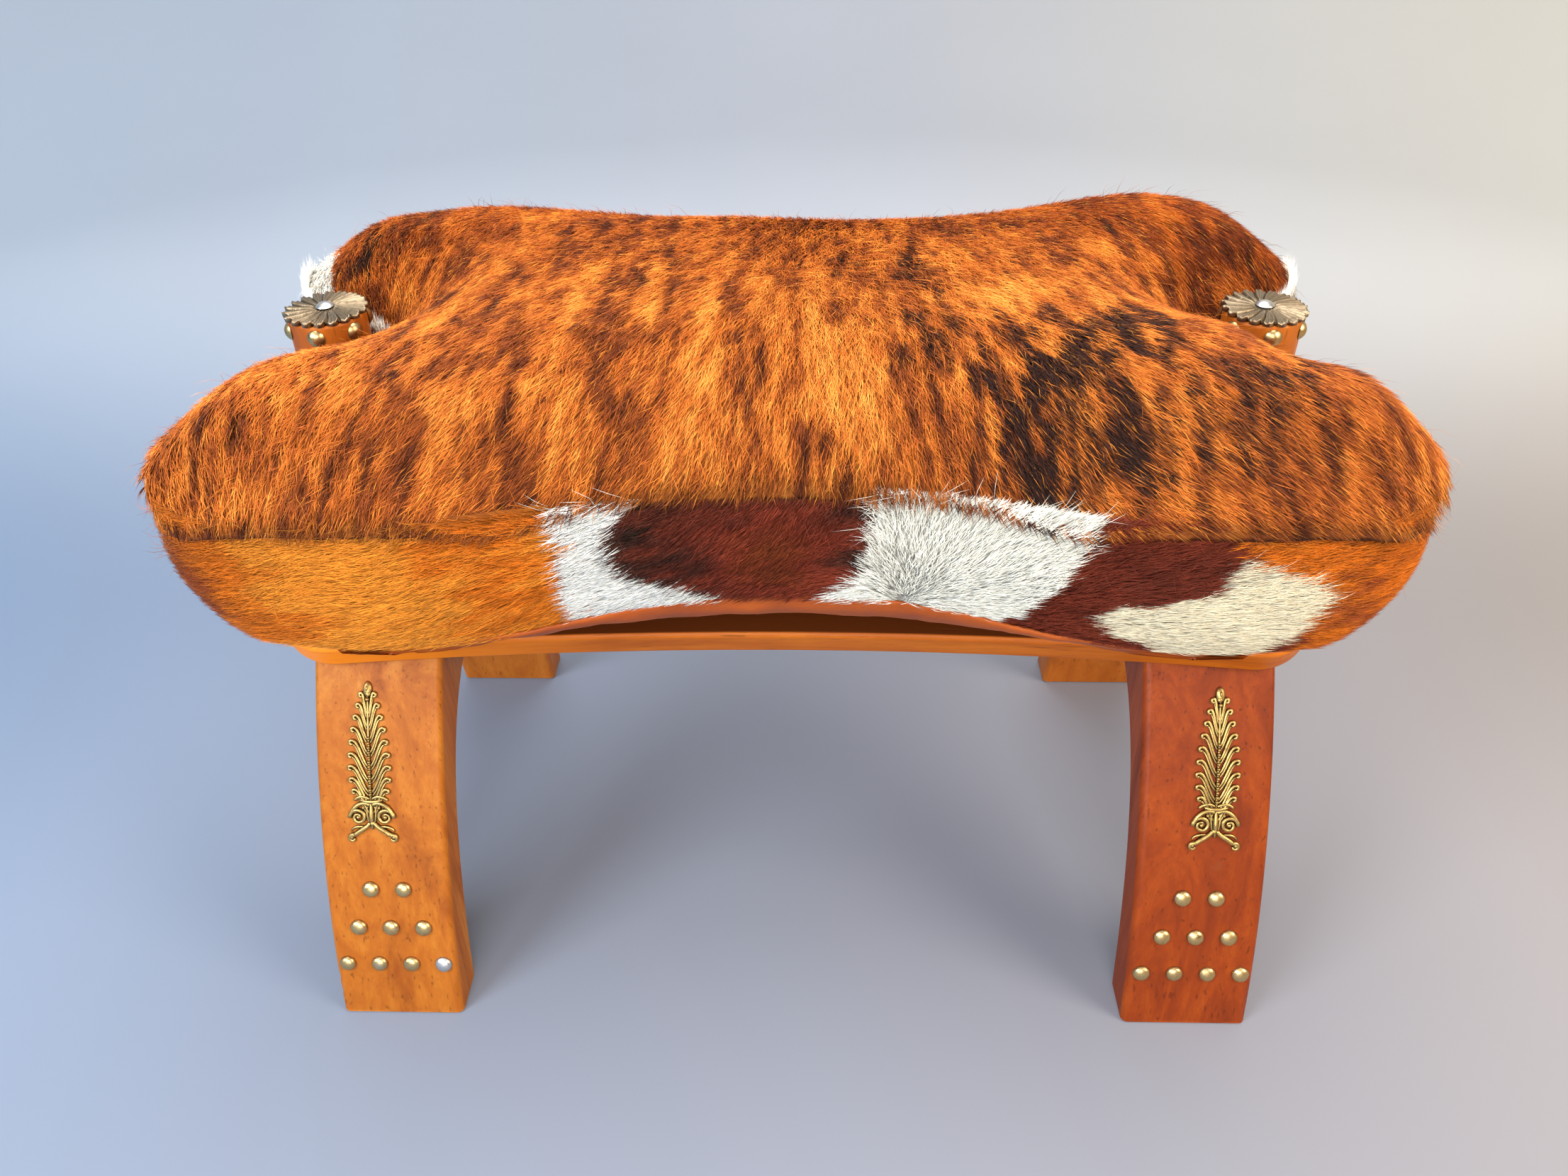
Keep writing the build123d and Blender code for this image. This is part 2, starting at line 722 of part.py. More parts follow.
def band_pieces():
    """The band's shell, cut at its two sewn joins into the front left piece and the rest."""
    shell = band(0) - band(hide_thickness)
    span = board_length
    depth = lobe_y + lobe_radius + overrun
    tall = Box(span, depth, seam_height, align=(Align.MAX, Align.MAX, Align.MIN))
    left = shell & Pos(-band_seam_x - band_seam_gap / 2, 0, 0) * tall
    keep_out = Box(span, depth + overrun, seam_height, align=(Align.MAX, Align.MAX, Align.MIN))
    rest = shell - Pos(-band_seam_x + band_seam_gap / 2, band_seam_gap, 0) * keep_out
    return left, rest


def filling():
    """The stuffing inside the hides."""
    inset = hide_thickness + filling_clearance
    upper = crown(inset, hide_thickness + filling_clearance) + band(inset)
    lower_gap = base_rest_gap + base_leather_thickness + filling_clearance
    return upper + base(inset, lower_gap)


def four_ways(shape):
    """The shape at the front right, front left, rear right and rear left."""
    left = mirror(shape, about=Plane.YZ)
    return shape, left, mirror(shape, about=Plane.XZ), mirror(left, about=Plane.XZ)


legs = four_ways(leg())
for name, shape in zip(("front_right", "front_left", "rear_right", "rear_left"), legs):
    save(f"leg_{name}", shape)

front_board = seat_board()
save("seat_board_front", front_board)
save("seat_board_rear", mirror(front_board, about=Plane.XZ))

screws = [board_plane() * Pos(x, y, 0) * screw() for x, y in screw_places()]
save("board_screws_front", *screws)
save("board_screws_rear", *[mirror(shape, about=Plane.XZ) for shape in screws])

dowels = [Pos(x, 0, 0) * dowel(0) for x in dowel_places()]
save("leg_dowels_right", *dowels)
save("leg_dowels_left", *[mirror(shape, about=Plane.YZ) for shape in dowels])

leg_tack = dome_tack(tack_radius, tack_height, tack_shank_radius, tack_shank_length)
right_tacks = [plane * leg_tack for plane in leg_tack_planes()]
front_tacks = right_tacks + [mirror(shape, about=Plane.YZ) for shape in right_tacks]
save("leg_tacks_front", *front_tacks)
save("leg_tacks_rear", *[mirror(shape, about=Plane.XZ) for shape in front_tacks])

palmettes = four_ways(palmette())
save("palmettes_front", *palmettes[:2])
save("palmettes_rear", *palmettes[2:])

pin = dome_tack(pin_head_radius, pin_head_height, pin_shank_radius, pin_shank_length + palmette_relief)
pins = []
for plane in palmette_pin_planes():
    pins += four_ways(plane * Pos(0, 0, palmette_relief) * pin)
save("palmette_pins", *pins)

ends = {"right": lambda shape: shape, "left": lambda shape: mirror(shape, about=Plane.YZ)}
post = pommel()
cap = pommel_cap()
nail = cap_nail()
post_tacks = [plane * leg_tack for plane in post_tack_planes()]
for end, place in ends.items():
    save(f"pommel_{end}", place(post))
    save(f"pommel_cap_{end}", place(cap))
    save(f"pommel_cap_nail_{end}", place(nail))
    save(f"pommel_tacks_{end}", *[place(shape) for shape in post_tacks])

top_surface = stuffed_top()
save("cushion_top_hide", crown(0, 0) - crown(hide_thickness, hide_thickness))
band_left, band_rest = band_pieces()
save("cushion_band_front_left", band_left)
save("cushion_band_main", band_rest)
save("cushion_base_leather", base(0, base_rest_gap) - base(hide_thickness, base_rest_gap + base_leather_thickness))
save("cushion_filling", filling())
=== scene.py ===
import math

import bmesh
import bpy
import numpy as np
from mathutils import Matrix, Vector


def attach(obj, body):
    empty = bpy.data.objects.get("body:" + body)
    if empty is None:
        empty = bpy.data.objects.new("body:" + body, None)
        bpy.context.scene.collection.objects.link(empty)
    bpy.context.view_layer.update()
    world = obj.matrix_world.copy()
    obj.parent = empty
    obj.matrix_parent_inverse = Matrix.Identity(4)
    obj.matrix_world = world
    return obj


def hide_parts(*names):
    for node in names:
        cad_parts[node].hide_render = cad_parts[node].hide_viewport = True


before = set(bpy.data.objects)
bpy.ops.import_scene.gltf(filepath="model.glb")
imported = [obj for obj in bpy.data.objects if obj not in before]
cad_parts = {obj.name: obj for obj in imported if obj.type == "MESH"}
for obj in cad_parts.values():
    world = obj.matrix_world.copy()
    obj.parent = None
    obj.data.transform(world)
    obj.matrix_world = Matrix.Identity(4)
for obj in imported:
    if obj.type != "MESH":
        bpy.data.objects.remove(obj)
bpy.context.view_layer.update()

# Lengths are in metres, and in millimetres where a comment says so. MM is one millimetre.
MM = 0.001
TAU = 2 * math.pi

# Camera, solved from the photograph's feet, caps and edges
CAMERA_PLACE = (0.01334, -0.59324, 0.64068)
CAMERA_PITCH = 36.63
CAMERA_YAW = -1.81
CAMERA_ROLL = -0.81
CAMERA_LENS = 27.19
SENSOR_WIDTH = 36.0

# Legs, as in the frame: the outer face is an arc seen from the side
LEG_X = 237 * MM
FOOT_REACH = 171.2 * MM
FOOT_LEAN = math.radians(12.3)
FACE_RADIUS = 538 * MM
FACE_Y = FOOT_REACH - FACE_RADIUS * math.cos(FOOT_LEAN)
FACE_Z = -FACE_RADIUS * math.sin(FOOT_LEAN)

# Cushion outline at the upper seam, as in the frame
POMMEL_X = 249.4 * MM
NOTCH_RADIUS = 28.5 * MM
LOBE = (243.9 * MM, 108.6 * MM)
LOBE_RADIUS = 57.8 * MM
HAUNCH_RADIUS = 99.6 * MM
SHOULDER_RADIUS = 286.6 * MM
WAIST_DEPTH = 138 * MM
WAIST_RADIUS = 393.3 * MM
SEAM_Z = 356 * MM

# Crown: a steep rim along the seam under a stuffed top taken through stations, as in the frame.
# The rim's insets and rises are in millimetres, and swells are (x, y, rise, reach) in millimetres.
CROWN_RISE = 52 * MM
CROWN_RIM_REACH = 30 * MM
RIM_INSETS = (0.0, 6.0, 15.0, 26.0, 40.0, 60.0)
RIM_RISES = (0.0, 10.6, 20.8, 32.6, 60.0, 110.0)
STATIONS = (8, 5)
STATION_STEP = 42 * MM
DEPTH_LIMIT = 12 * MM
SWELLS = ((-215, -92, -4.0, 62), (215, -92, 8.0, 62), (-215, 92, 3.0, 62), (215, 92, 9.0, 62))

# Slumps of the crown, only here and not in the frame, given like the swells
SLUMPS = (
    (-252, 118, -9.5, 44), (-205, 116, -3.0, 42), (-150, 112, -2.5, 40),
    (254, 112, -7.5, 34), (205, 112, -2.0, 50), (140, 106, -3.5, 46),
    (-256, -100, -1.5, 44), (240, -80, -13.0, 28), (-30, 84, 2.5, 50),
)

# Fine grid on which the crown is worked out, and how rim and top run together
CROWN_GRID = (104, 60)
CROWN_STEP = 3 * MM
OUTSIDE_SLOPE = 1.8
RIM_BLEND = 5 * MM
SOFT_DEPTH = 14 * MM

# Sides, in millimetres: depths below the upper seam, with the insets at the waist and at the lobes
BAND_DROPS = (-20.0, 0.0, 15.2, 36.0, 46.0, 56.0, 66.0, 76.0, 86.0, 98.0)
BAND_WAIST_INSETS = (4.0, 1.5, -1.0, 0.0, 4.0, 8.0, 12.5, 19.0, 26.0, 36.0)
BAND_LOBE_INSETS = (4.5, 3.5, 2.5, 2.0, 4.0, 7.5, 11.5, 17.0, 24.0, 36.0)
BASE_DROPS = (62.0, 72.0, 82.0, 96.0, 112.0, 122.0, 134.0)
BASE_WAIST_INSETS = (10.0, 15.0, 17.5, 34.0, 60.0, 73.0, 84.0)
BASE_LOBE_INSETS = (11.5, 16.5, 23.0, 38.0, 53.0, 63.0, 74.0)
LOWER_SEAM_PLACES = (0, 60, 100, 135, 200, 250, 302)
LOWER_SEAM_DROPS = (71.5, 75.0, 82.0, 88.0, 88.0, 85.0, 80.0)
BAND_LEVELS = (0, 94)
BASE_LEVELS = (62, 134)
BASE_FOOT = 133
BASE_OVERLAP = 3

# Hides and underside
HIDE_THICKNESS = 3 * MM
LEATHER_THICKNESS = 2.5 * MM
BAND_HEIGHT = 76 * MM
BOARD_EDGE = (94.3 * MM, 221.8 * MM)
BOARD_SLOPE = math.radians(24)
UNDERSIDE_TOP = 249.5 * MM
UNDERSIDE_SLOPE = math.radians(42)
SPINE_REACH = 150 * MM

# Sewn join of the band on the front, in millimetres from the middle
JOIN = -102

# Half sizes of the plan in which hair and stray hair are strewn, and the stretches of the ring
# that carry the white tufts, from one point of it to another
HAIR_REACH = (302 * MM, 171 * MM)
STRAY_REACH = (300 * MM, 168 * MM)
LEFT_TUFTS = (298, 350)
RIGHT_TUFTS = (22, 62)

# Dome tacks of the legs: each row's share of the height of the palmette's foot, and its tacks
TACK_ROWS = ((0.327, 4), (0.54, 3), (0.752, 2))
PALMETTE_FOOT = 113 * MM
TACK_SPACING = 19.3 * MM
TACK_RADIUS = 5.15 * MM
TACK_RISE = 3.2 * MM
TACK_SINK = 0.5 * MM

# Palmettes, drawn 95 units high and fitted to the frame's
PALMETTE_UNITS = 95
PALMETTE_HALF_WIDTH = 14.3 * MM
KNOB_SINK = 0.3 * MM


def rng(seed):
    """Seeded random numbers, one stream for each use."""
    return np.random.default_rng(seed)


# Mesh helpers


def mesh_object(name, verts, faces, material):
    """New smooth object from vertices and a list of arrays of faces, each array of one face size."""
    mesh = bpy.data.meshes.new(name)
    loops = np.concatenate([g.reshape(-1) for g in faces]).astype(np.int32)
    totals = np.concatenate([np.full(len(g), g.shape[1], np.int32) for g in faces])
    starts = np.concatenate([[0], np.cumsum(totals)[:-1]]).astype(np.int32)
    mesh.vertices.add(len(verts))
    mesh.vertices.foreach_set("co", np.asarray(verts, np.float32).reshape(-1))
    mesh.loops.add(len(loops))
    mesh.loops.foreach_set("vertex_index", loops)
    mesh.polygons.add(len(totals))
    mesh.polygons.foreach_set("loop_start", starts)
    mesh.polygons.foreach_set("loop_total", totals)
    mesh.polygons.foreach_set("use_smooth", np.ones(len(totals), bool))
    mesh.update(calc_edges=True)
    mesh.validate()
    mesh.materials.append(material)
    item = bpy.data.objects.new(name, mesh)
    bpy.context.scene.collection.objects.link(item)
    return item


def paint(item, colors):
    """Store one colour for each vertex."""
    layer = item.data.color_attributes.new("tint", "FLOAT_COLOR", "POINT")
    rgba = np.ones((len(colors), 4), np.float32)
    rgba[:, :3] = colors
    layer.data.foreach_set("color", rgba.reshape(-1))


def grid_faces(rows, columns, closed_columns=False):
    """Quads between rows of points, as an array of four indices each."""
    span = columns if closed_columns else columns - 1
    r, c = np.meshgrid(np.arange(rows - 1), np.arange(span), indexing="ij")
    n = (c + 1) % columns
    low, high = r * columns, (r + 1) * columns
    return np.stack([low + c, low + n, high + n, high + c], -1).reshape(-1, 4)


def fan_faces(hub, ring):
    """Triangles from a point to a closed ring of points."""
    return np.stack([np.full(len(ring), hub), ring, np.roll(ring, -1)], -1)


def shell_faces(rows, count, inward=False):
    """Faces of a closed shell: a sheet of closed rings, the same sheet again, and the two edges."""
    total, last = rows * count, (rows - 1) * count
    sheet = grid_faces(rows, count, True)
    ring = np.arange(count)
    after = (ring + 1) % count
    rim = np.stack([ring + total, after + total, after, ring], -1)
    hub = np.stack([ring + last, after + last, after + last + total, ring + last + total], -1)
    faces = [sheet, sheet[:, ::-1] + total, rim, hub]
    return [f[:, ::-1] for f in faces] if inward else faces


def turn_outward(item):
    """Turn every face of an object outward."""
    work = bmesh.new()
    work.from_mesh(item.data)
    bmesh.ops.recalc_face_normals(work, faces=work.faces)
    work.to_mesh(item.data)
    work.free()


def unit(vectors):
    """Vectors scaled to a length of 1."""
    return vectors / np.maximum(np.linalg.norm(vectors, axis=1), 1e-12)[:, None]


def node_box(node):
    """Lowest and highest corner of a CAD piece's box."""
    corners = np.array([node.matrix_world @ Vector(c) for c in node.bound_box])
    return corners.min(0), corners.max(0)


def place(item, body, slot, *nodes):
    """Ride on a body and stand for CAD nodes; the slot is not used."""
    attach(item, body)
    if nodes:
        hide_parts(*nodes)


# Material helpers


class Nodes:
    """Short way to write a node tree."""

    def __init__(self, name):
        self.material = bpy.data.materials.new(name)
        self.material.use_nodes = True
        self.tree = self.material.node_tree
        self.shader = self.tree.nodes["Principled BSDF"]

    def add(self, kind, inputs=None, **settings):
        node = self.tree.nodes.new(kind)
        for key, value in settings.items():
            setattr(node, key, value)
        for key, value in (inputs or {}).items():
            self.feed(node.inputs[key], value)
        return node

    def feed(self, socket, value):
        if isinstance(value, bpy.types.NodeSocket):
            self.tree.links.new(value, socket)
        elif isinstance(value, (tuple, list)) and len(value) == 3 and socket.type == "RGBA":
            socket.default_value = (*value, 1)
        else:
            socket.default_value = value

    def finish(self, inputs):
        """Feed the shader and hand over the material."""
        for key, value in inputs.items():
            self.feed(self.shader.inputs[key], value)
        return self.material

    def here(self):
        return self.add("ShaderNodeTexCoord").outputs["Object"]

    def plain(self):
        return self.add("ShaderNodeNewGeometry").outputs["Normal"]

    def split(self, vector):
        return self.add("ShaderNodeSeparateXYZ", {"Vector": vector}).outputs

    def coords(self, scale=(1, 1, 1)):
        return self.add("ShaderNodeMapping", {"Vector": self.here(), "Scale": scale}).outputs[0]

    def span(self, value, start, end, low=0.0, high=1.0, **settings):
        """A value from start to end turned into one from low to high, held at both."""
        return self.add("ShaderNodeMapRange", {
            "Value": value, "From Min": start, "From Max": end, "To Min": low, "To Max": high,
        }, **settings).outputs[0]

    def facing(self, soft):
        """How far a softened normal agrees with the plain one."""
        inputs = {0: soft, 1: self.plain()}
        return self.add("ShaderNodeVectorMath", inputs, operation="DOT_PRODUCT").outputs["Value"]

    def noise(self, vector, scale, detail=3.0, roughness=0.55, distortion=0.0):
        return self.add("ShaderNodeTexNoise", {
            "Vector": vector, "Scale": scale, "Detail": detail,
            "Roughness": roughness, "Distortion": distortion,
        }).outputs["Fac"]

    def ramp(self, value, *stops):
        node = self.add("ShaderNodeValToRGB", {"Fac": value})
        points = node.color_ramp.elements
        while len(points) < len(stops):
            points.new(0.5)
        for point, (position, color) in zip(points, stops):
            point.position = position
            point.color = (*color, 1) if isinstance(color, tuple) else (color, color, color, 1)
        return node.outputs["Color"]

    def mix(self, amount, first, second, blend="MIX"):
        node = self.add("ShaderNodeMix", data_type="RGBA", blend_type=blend)
        self.feed(node.inputs["Factor"], amount)
        self.feed(node.inputs["A"], first)
        self.feed(node.inputs["B"], second)
        return node.outputs["Result"]

    def math(self, operation, first, second=0.0, clamp=False):
        node = self.add("ShaderNodeMath", operation=operation, use_clamp=clamp)
        self.feed(node.inputs[0], first)
        self.feed(node.inputs[1], second)
        return node.outputs[0]

    def bump(self, height, distance, strength=1.0, normal=None):
        inputs = {"Height": height, "Distance": distance, "Strength": strength}
        if normal is not None:
            inputs["Normal"] = normal
        return self.add("ShaderNodeBump", inputs).outputs["Normal"]

    def near(self, point, radius, wobble):
        """1 at a point of the object, falling to 0 at a radius, with an uneven rim."""
        here = self.here()
        gap = self.add("ShaderNodeVectorMath", {0: here, 1: point}, operation="DISTANCE").outputs["Value"]
        gap = self.math("ADD", gap, self.math("MULTIPLY", self.noise(here, 120.0), wobble))
        return self.span(gap, 0.0, radius, 1.0, 0.0)


def scaled(color, factor):
    """A colour made lighter or darker, held at 1."""
    return tuple(min(1, c * factor) for c in color)


def wood_material(name, tones, stretch, marks=(), gloss=0.42, top_shade_and_stain=0.0, pale_left=0.0):
    """Oiled hardwood: long grain, fine pores, soft blotches, worn edges, stains and painted highlights at
    given points, and painted shade on faces that look up if asked.
    """
    light, middle, dark = tones
    n = Nodes(name)
    along_grain = n.coords(stretch)
    blotch = n.noise(n.coords(), 14.0, 2.0)
    figure = n.noise(along_grain, 30.0, 5.0, 0.65, 0.9)
    fibres = n.noise(along_grain, 210.0, 4.0, 0.75)
    pores = n.noise(along_grain, 520.0, 1.0, 0.5)
    color = n.ramp(figure, (0.30, dark), (0.47, middle), (0.68, light))
    color = n.mix(n.ramp(blotch, (0.45, 0.0), (0.80, 0.30)), color, middle, "MULTIPLY")
    color = n.mix(n.ramp(fibres, (0.36, 0.50), (0.60, 0.0)), color, scaled(dark, 1.3))
    pore_mask = n.ramp(pores, (0.66, 0.0), (0.74, 0.45))
    color = n.mix(pore_mask, color, scaled(dark, 0.35))
    soft = n.add("ShaderNodeBevel", {"Radius": 0.0035}, samples=4).outputs["Normal"]
    edge = n.span(n.facing(soft), 0.99, 0.80, 0.0, 0.75)
    edge = n.math("MULTIPLY", edge, n.ramp(n.noise(n.coords(), 60.0, 3.0), (0.40, 0.0), (0.60, 1.0)))
    color = n.mix(edge, color, scaled(light, 1.5))
    # Stains, and where given a painted highlight.
    for point, radius, stain_and_sheen in marks:
        color = n.mix(n.near(point, radius, radius * 1.2), color, stain_and_sheen)
    if pale_left:
        pale = n.span(n.split(n.here())["X"], -0.10, -0.26, 0.0, pale_left)
        color = n.mix(pale, color, scaled(light, 1.8))
    # Painted shade with some dark stain: faces that look up, the boards' tops under the cushion, are darkened
    # towards a deep brown.
    if top_shade_and_stain:
        top_shade_and_stain_mask = n.span(n.split(n.plain())["Z"], 0.72, 0.88, 0.0, top_shade_and_stain)
        color = n.mix(top_shade_and_stain_mask, color, scaled(dark, 0.22))
    height = n.math("ADD", n.math("MULTIPLY", fibres, 0.5), n.math("MULTIPLY", pore_mask, -1.2))
    return n.finish({
        "Base Color": color,
        "Roughness": n.ramp(figure, (0.3, gloss + 0.12), (0.7, gloss)),
        "Specular IOR Level": 0.20,
        "Coat Weight": 0.03,
        "Coat Roughness": 0.30,
        "Normal": n.bump(height, 0.0004, 0.45),
    })


def metal_material(name, bright, dark, rough, grime_and_edge_shade=0.6, round_off=0.0, marks=()):
    """Old metal: bright where rubbed, dark in the hollows, finely pitted, with soft edges and painted shade
    along them if asked.
    """
    n = Nodes(name)
    grain = 260.0
    soft = n.noise(n.coords(), grain, 3.0, 0.6)
    fine = n.noise(n.coords(), grain * 6, 2.0, 0.6)
    hollow = n.add("ShaderNodeAmbientOcclusion", {"Distance": 0.0022}, samples=6).outputs["AO"]
    shade = n.math("MULTIPLY", n.ramp(hollow, (0.45, 1.0), (0.95, 0.0)), grime_and_edge_shade)
    shade = n.math("ADD", shade, n.ramp(soft, (0.50, 0.0), (0.75, 0.45)), clamp=True)
    base = None
    if round_off:
        base = n.add("ShaderNodeBevel", {"Radius": round_off}, samples=8).outputs["Normal"]
        # Painted shade: darker where the softened normal turns from the plain one, along edges and creases.
        wear_and_edge_shade = n.ramp(n.facing(base), (0.55, 0.75), (0.97, 0.0))
        shade = n.math("ADD", shade, n.math("MULTIPLY", wear_and_edge_shade, grime_and_edge_shade), clamp=True)
    for point, radius, tone in marks:
        bright = n.mix(n.math("MULTIPLY", n.near(point, radius, 0.002), 3.0, clamp=True), bright, tone)
    return n.finish({
        "Base Color": n.mix(shade, bright, dark),
        "Metallic": 1.0,
        "Roughness": n.ramp(soft, (0.3, rough), (0.75, rough + 0.25)),
        "Normal": n.bump(fine, 0.00012, 0.35, base),
    })


def painted_material(name, rough, bump_scale, bump_depth, variation=0.25):
    """A material whose colour is stored on the vertices, broken up by fine noise."""
    n = Nodes(name)
    tint = n.add("ShaderNodeVertexColor", layer_name="tint").outputs["Color"]
    fine = n.noise(n.coords(), bump_scale, 3.0, 0.6)
    shade = n.ramp(fine, (0.25, 1.0 - variation), (0.75, 1.0))
    return n.finish({
        "Base Color": n.mix(1.0, tint, shade, "MULTIPLY"),
        "Roughness": rough,
        "Specular IOR Level": 0.20,
        "Normal": n.bump(fine, bump_depth, 0.6),
    })


def leather_material():
    """Smooth reddish-brown leather with fine pebble grain and rubbed patches."""
    n = Nodes("base_leather")
    cells = n.add("ShaderNodeTexVoronoi", {"Vector": n.coords(), "Scale": 520.0}).outputs["Distance"]
    soft = n.noise(n.coords(), 26.0, 4.0, 0.6)
    deep, middle, rubbed = (0.28, 0.052, 0.005), (0.40, 0.080, 0.008), (0.50, 0.115, 0.014)
    return n.finish({
        "Base Color": n.ramp(soft, (0.3, deep), (0.6, middle), (0.8, rubbed)),
        "Specular IOR Level": 0.25,
        "Roughness": n.ramp(soft, (0.3, 0.38), (0.7, 0.55)),
        "Normal": n.bump(cells, 0.0003, 0.5),
    })


# Camera, floor and light

# Floor and wall colours, with painted light: bluish to the left and warm to the right for the cool and warm
# lamps, and the walls lighter than the floor.
FLOOR_LEFT = (0.137, 0.225, 0.365)
FLOOR_MIDDLE = (0.226, 0.238, 0.285)
FLOOR_RIGHT = (0.318, 0.238, 0.140)
WALL_LEFT = (0.385, 0.455, 0.560)
WALL_MIDDLE = (0.475, 0.500, 0.560)
WALL_RIGHT = (0.620, 0.595, 0.530)


def make_camera():
    """The photograph's camera."""
    data = bpy.data.cameras.new("camera")
    data.lens = CAMERA_LENS
    data.sensor_width = SENSOR_WIDTH
    data.sensor_fit = "HORIZONTAL"
    pitch, yaw, roll = (math.radians(a) for a in (CAMERA_PITCH, CAMERA_YAW, CAMERA_ROLL))
    ahead = Vector((math.sin(yaw) * math.cos(pitch), math.cos(yaw) * math.cos(pitch), -math.sin(pitch)))
    right = Vector((math.cos(yaw), -math.sin(yaw), 0))
    up = right.cross(ahead)
    side = right * math.cos(roll) + up * math.sin(roll)
    top = up * math.cos(roll) - right * math.sin(roll)
    turn = Matrix((side, top, -ahead)).transposed()
    camera = bpy.data.objects.new("camera", data)
    camera.matrix_world = Matrix.Translation(CAMERA_PLACE) @ turn.to_4x4()
    bpy.context.scene.collection.objects.link(camera)
    bpy.context.scene.camera = camera


def stage_material():
    """Pale ground with painted light: bluish on the left and warm on the right for the cool and warm side
    lamps, and lighter towards the backdrop as if lit more.
    """
    n = Nodes("floor")
    spot = n.split(n.here())
    across = n.span(spot["X"], -1.6, 1.9)
    low = n.ramp(across, (0.1, FLOOR_LEFT), (0.5, FLOOR_MIDDLE), (0.9, FLOOR_RIGHT))
    high = n.ramp(across, (0.1, WALL_LEFT), (0.5, WALL_MIDDLE), (0.9, WALL_RIGHT))
    behind = n.span(spot["Y"], 0.20, 1.10, interpolation_type="SMOOTHSTEP")
    mottle = n.ramp(n.noise(n.coords(), 2.2, 2.0), (0.3, 0.97), (0.7, 1.0))
    color = n.mix(1.0, n.mix(behind, low, high), mottle, "MULTIPLY")
    return n.finish({"Base Color": color, "Roughness": 0.8, "Specular IOR Level": 0.2})


def make_stage():
    """A floor that curves up into a backdrop all round."""
    inner, sweep, wall, steps, turns = 1.7, 1.2, 3.0, 18, 96
    profile = [(inner * 0.5, 0.0), (inner, 0.0)]
    for k in range(1, steps + 1):
        angle = k / steps * math.pi / 2
        profile.append((inner + sweep * math.sin(angle), sweep * (1 - math.cos(angle))))
    profile.append((inner + sweep, wall))
    reach, high = np.array(profile).T
    angle = np.arange(turns) / turns * TAU
    ring = np.stack([np.cos(angle), np.sin(angle)], -1)
    verts = np.concatenate([
        reach[:, None, None] * ring, np.broadcast_to(high[:, None, None], (len(profile), turns, 1)),
    ], -1).reshape(-1, 3)
    centre = len(verts)
    faces = [grid_faces(len(profile), turns, True)[:, ::-1], fan_faces(centre, np.arange(turns))]
    floor = mesh_object("floor", np.vstack([verts, [[0, 0, 0]]]), faces, stage_material())


def area_light(name, place_at, target, size, power, color):
    """Soft square light aimed at a point."""
    data = bpy.data.lights.new(name, "AREA")
    data.shape = "SQUARE"
    data.size = size
    data.energy = power
    data.color = color
    lamp = bpy.data.objects.new(name, data)
    lamp.location = place_at
    aim = Vector(target) - Vector(place_at)
    lamp.rotation_mode = "QUATERNION"
    lamp.rotation_quaternion = aim.to_track_quat("-Z", "Y")
    bpy.context.scene.collection.objects.link(lamp)


def make_lights():
    """Cool light from the left, warm light from the right, broad light from front and above, a pale room."""
    area_light("window", (-1.45, -1.20, 1.45), (0, 0, 0.25), 1.0, 46, (0.90, 0.95, 1.0))
    area_light("front", (-0.15, -1.95, 1.10), (0, 0, 0.28), 1.3, 41, (1.0, 0.97, 0.93))
    area_light("lamp", (1.45, -0.75, 1.20), (0, 0, 0.2), 0.8, 30, (1.0, 0.88, 0.74))
    area_light("ceiling", (0.0, 0.35, 2.2), (0, 0.0, 0.3), 1.6, 46, (1.0, 0.98, 0.95))
    world = bpy.data.worlds.new("world")
    world.use_nodes = True
    room = world.node_tree.nodes["Background"].inputs
    room["Color"].default_value = (0.98, 0.96, 0.92, 1)
    room["Strength"].default_value = 0.55
    bpy.context.scene.world = world
    bpy.context.scene.view_settings.view_transform = "Standard"


# Cushion outline and surface


def meeting_point(first, first_reach, second, second_reach):
    """The point at a given distance from each of two centres, on the left of the line between them."""
    gap = math.dist(first, second)
    foot = (first_reach**2 - second_reach**2 + gap**2) / (2 * gap)
    side = math.sqrt(first_reach**2 - foot**2)
    ux, uy = (second[0] - first[0]) / gap, (second[1] - first[1]) / gap
    return np.array((first[0] + foot * ux - side * uy, first[1] + foot * uy + side * ux))


def toward(centre, target, radius):
    return centre + (target - centre) / np.linalg.norm(target - centre) * radius


ARC_SAMPLES = (18, 30, 66, 40, 26)


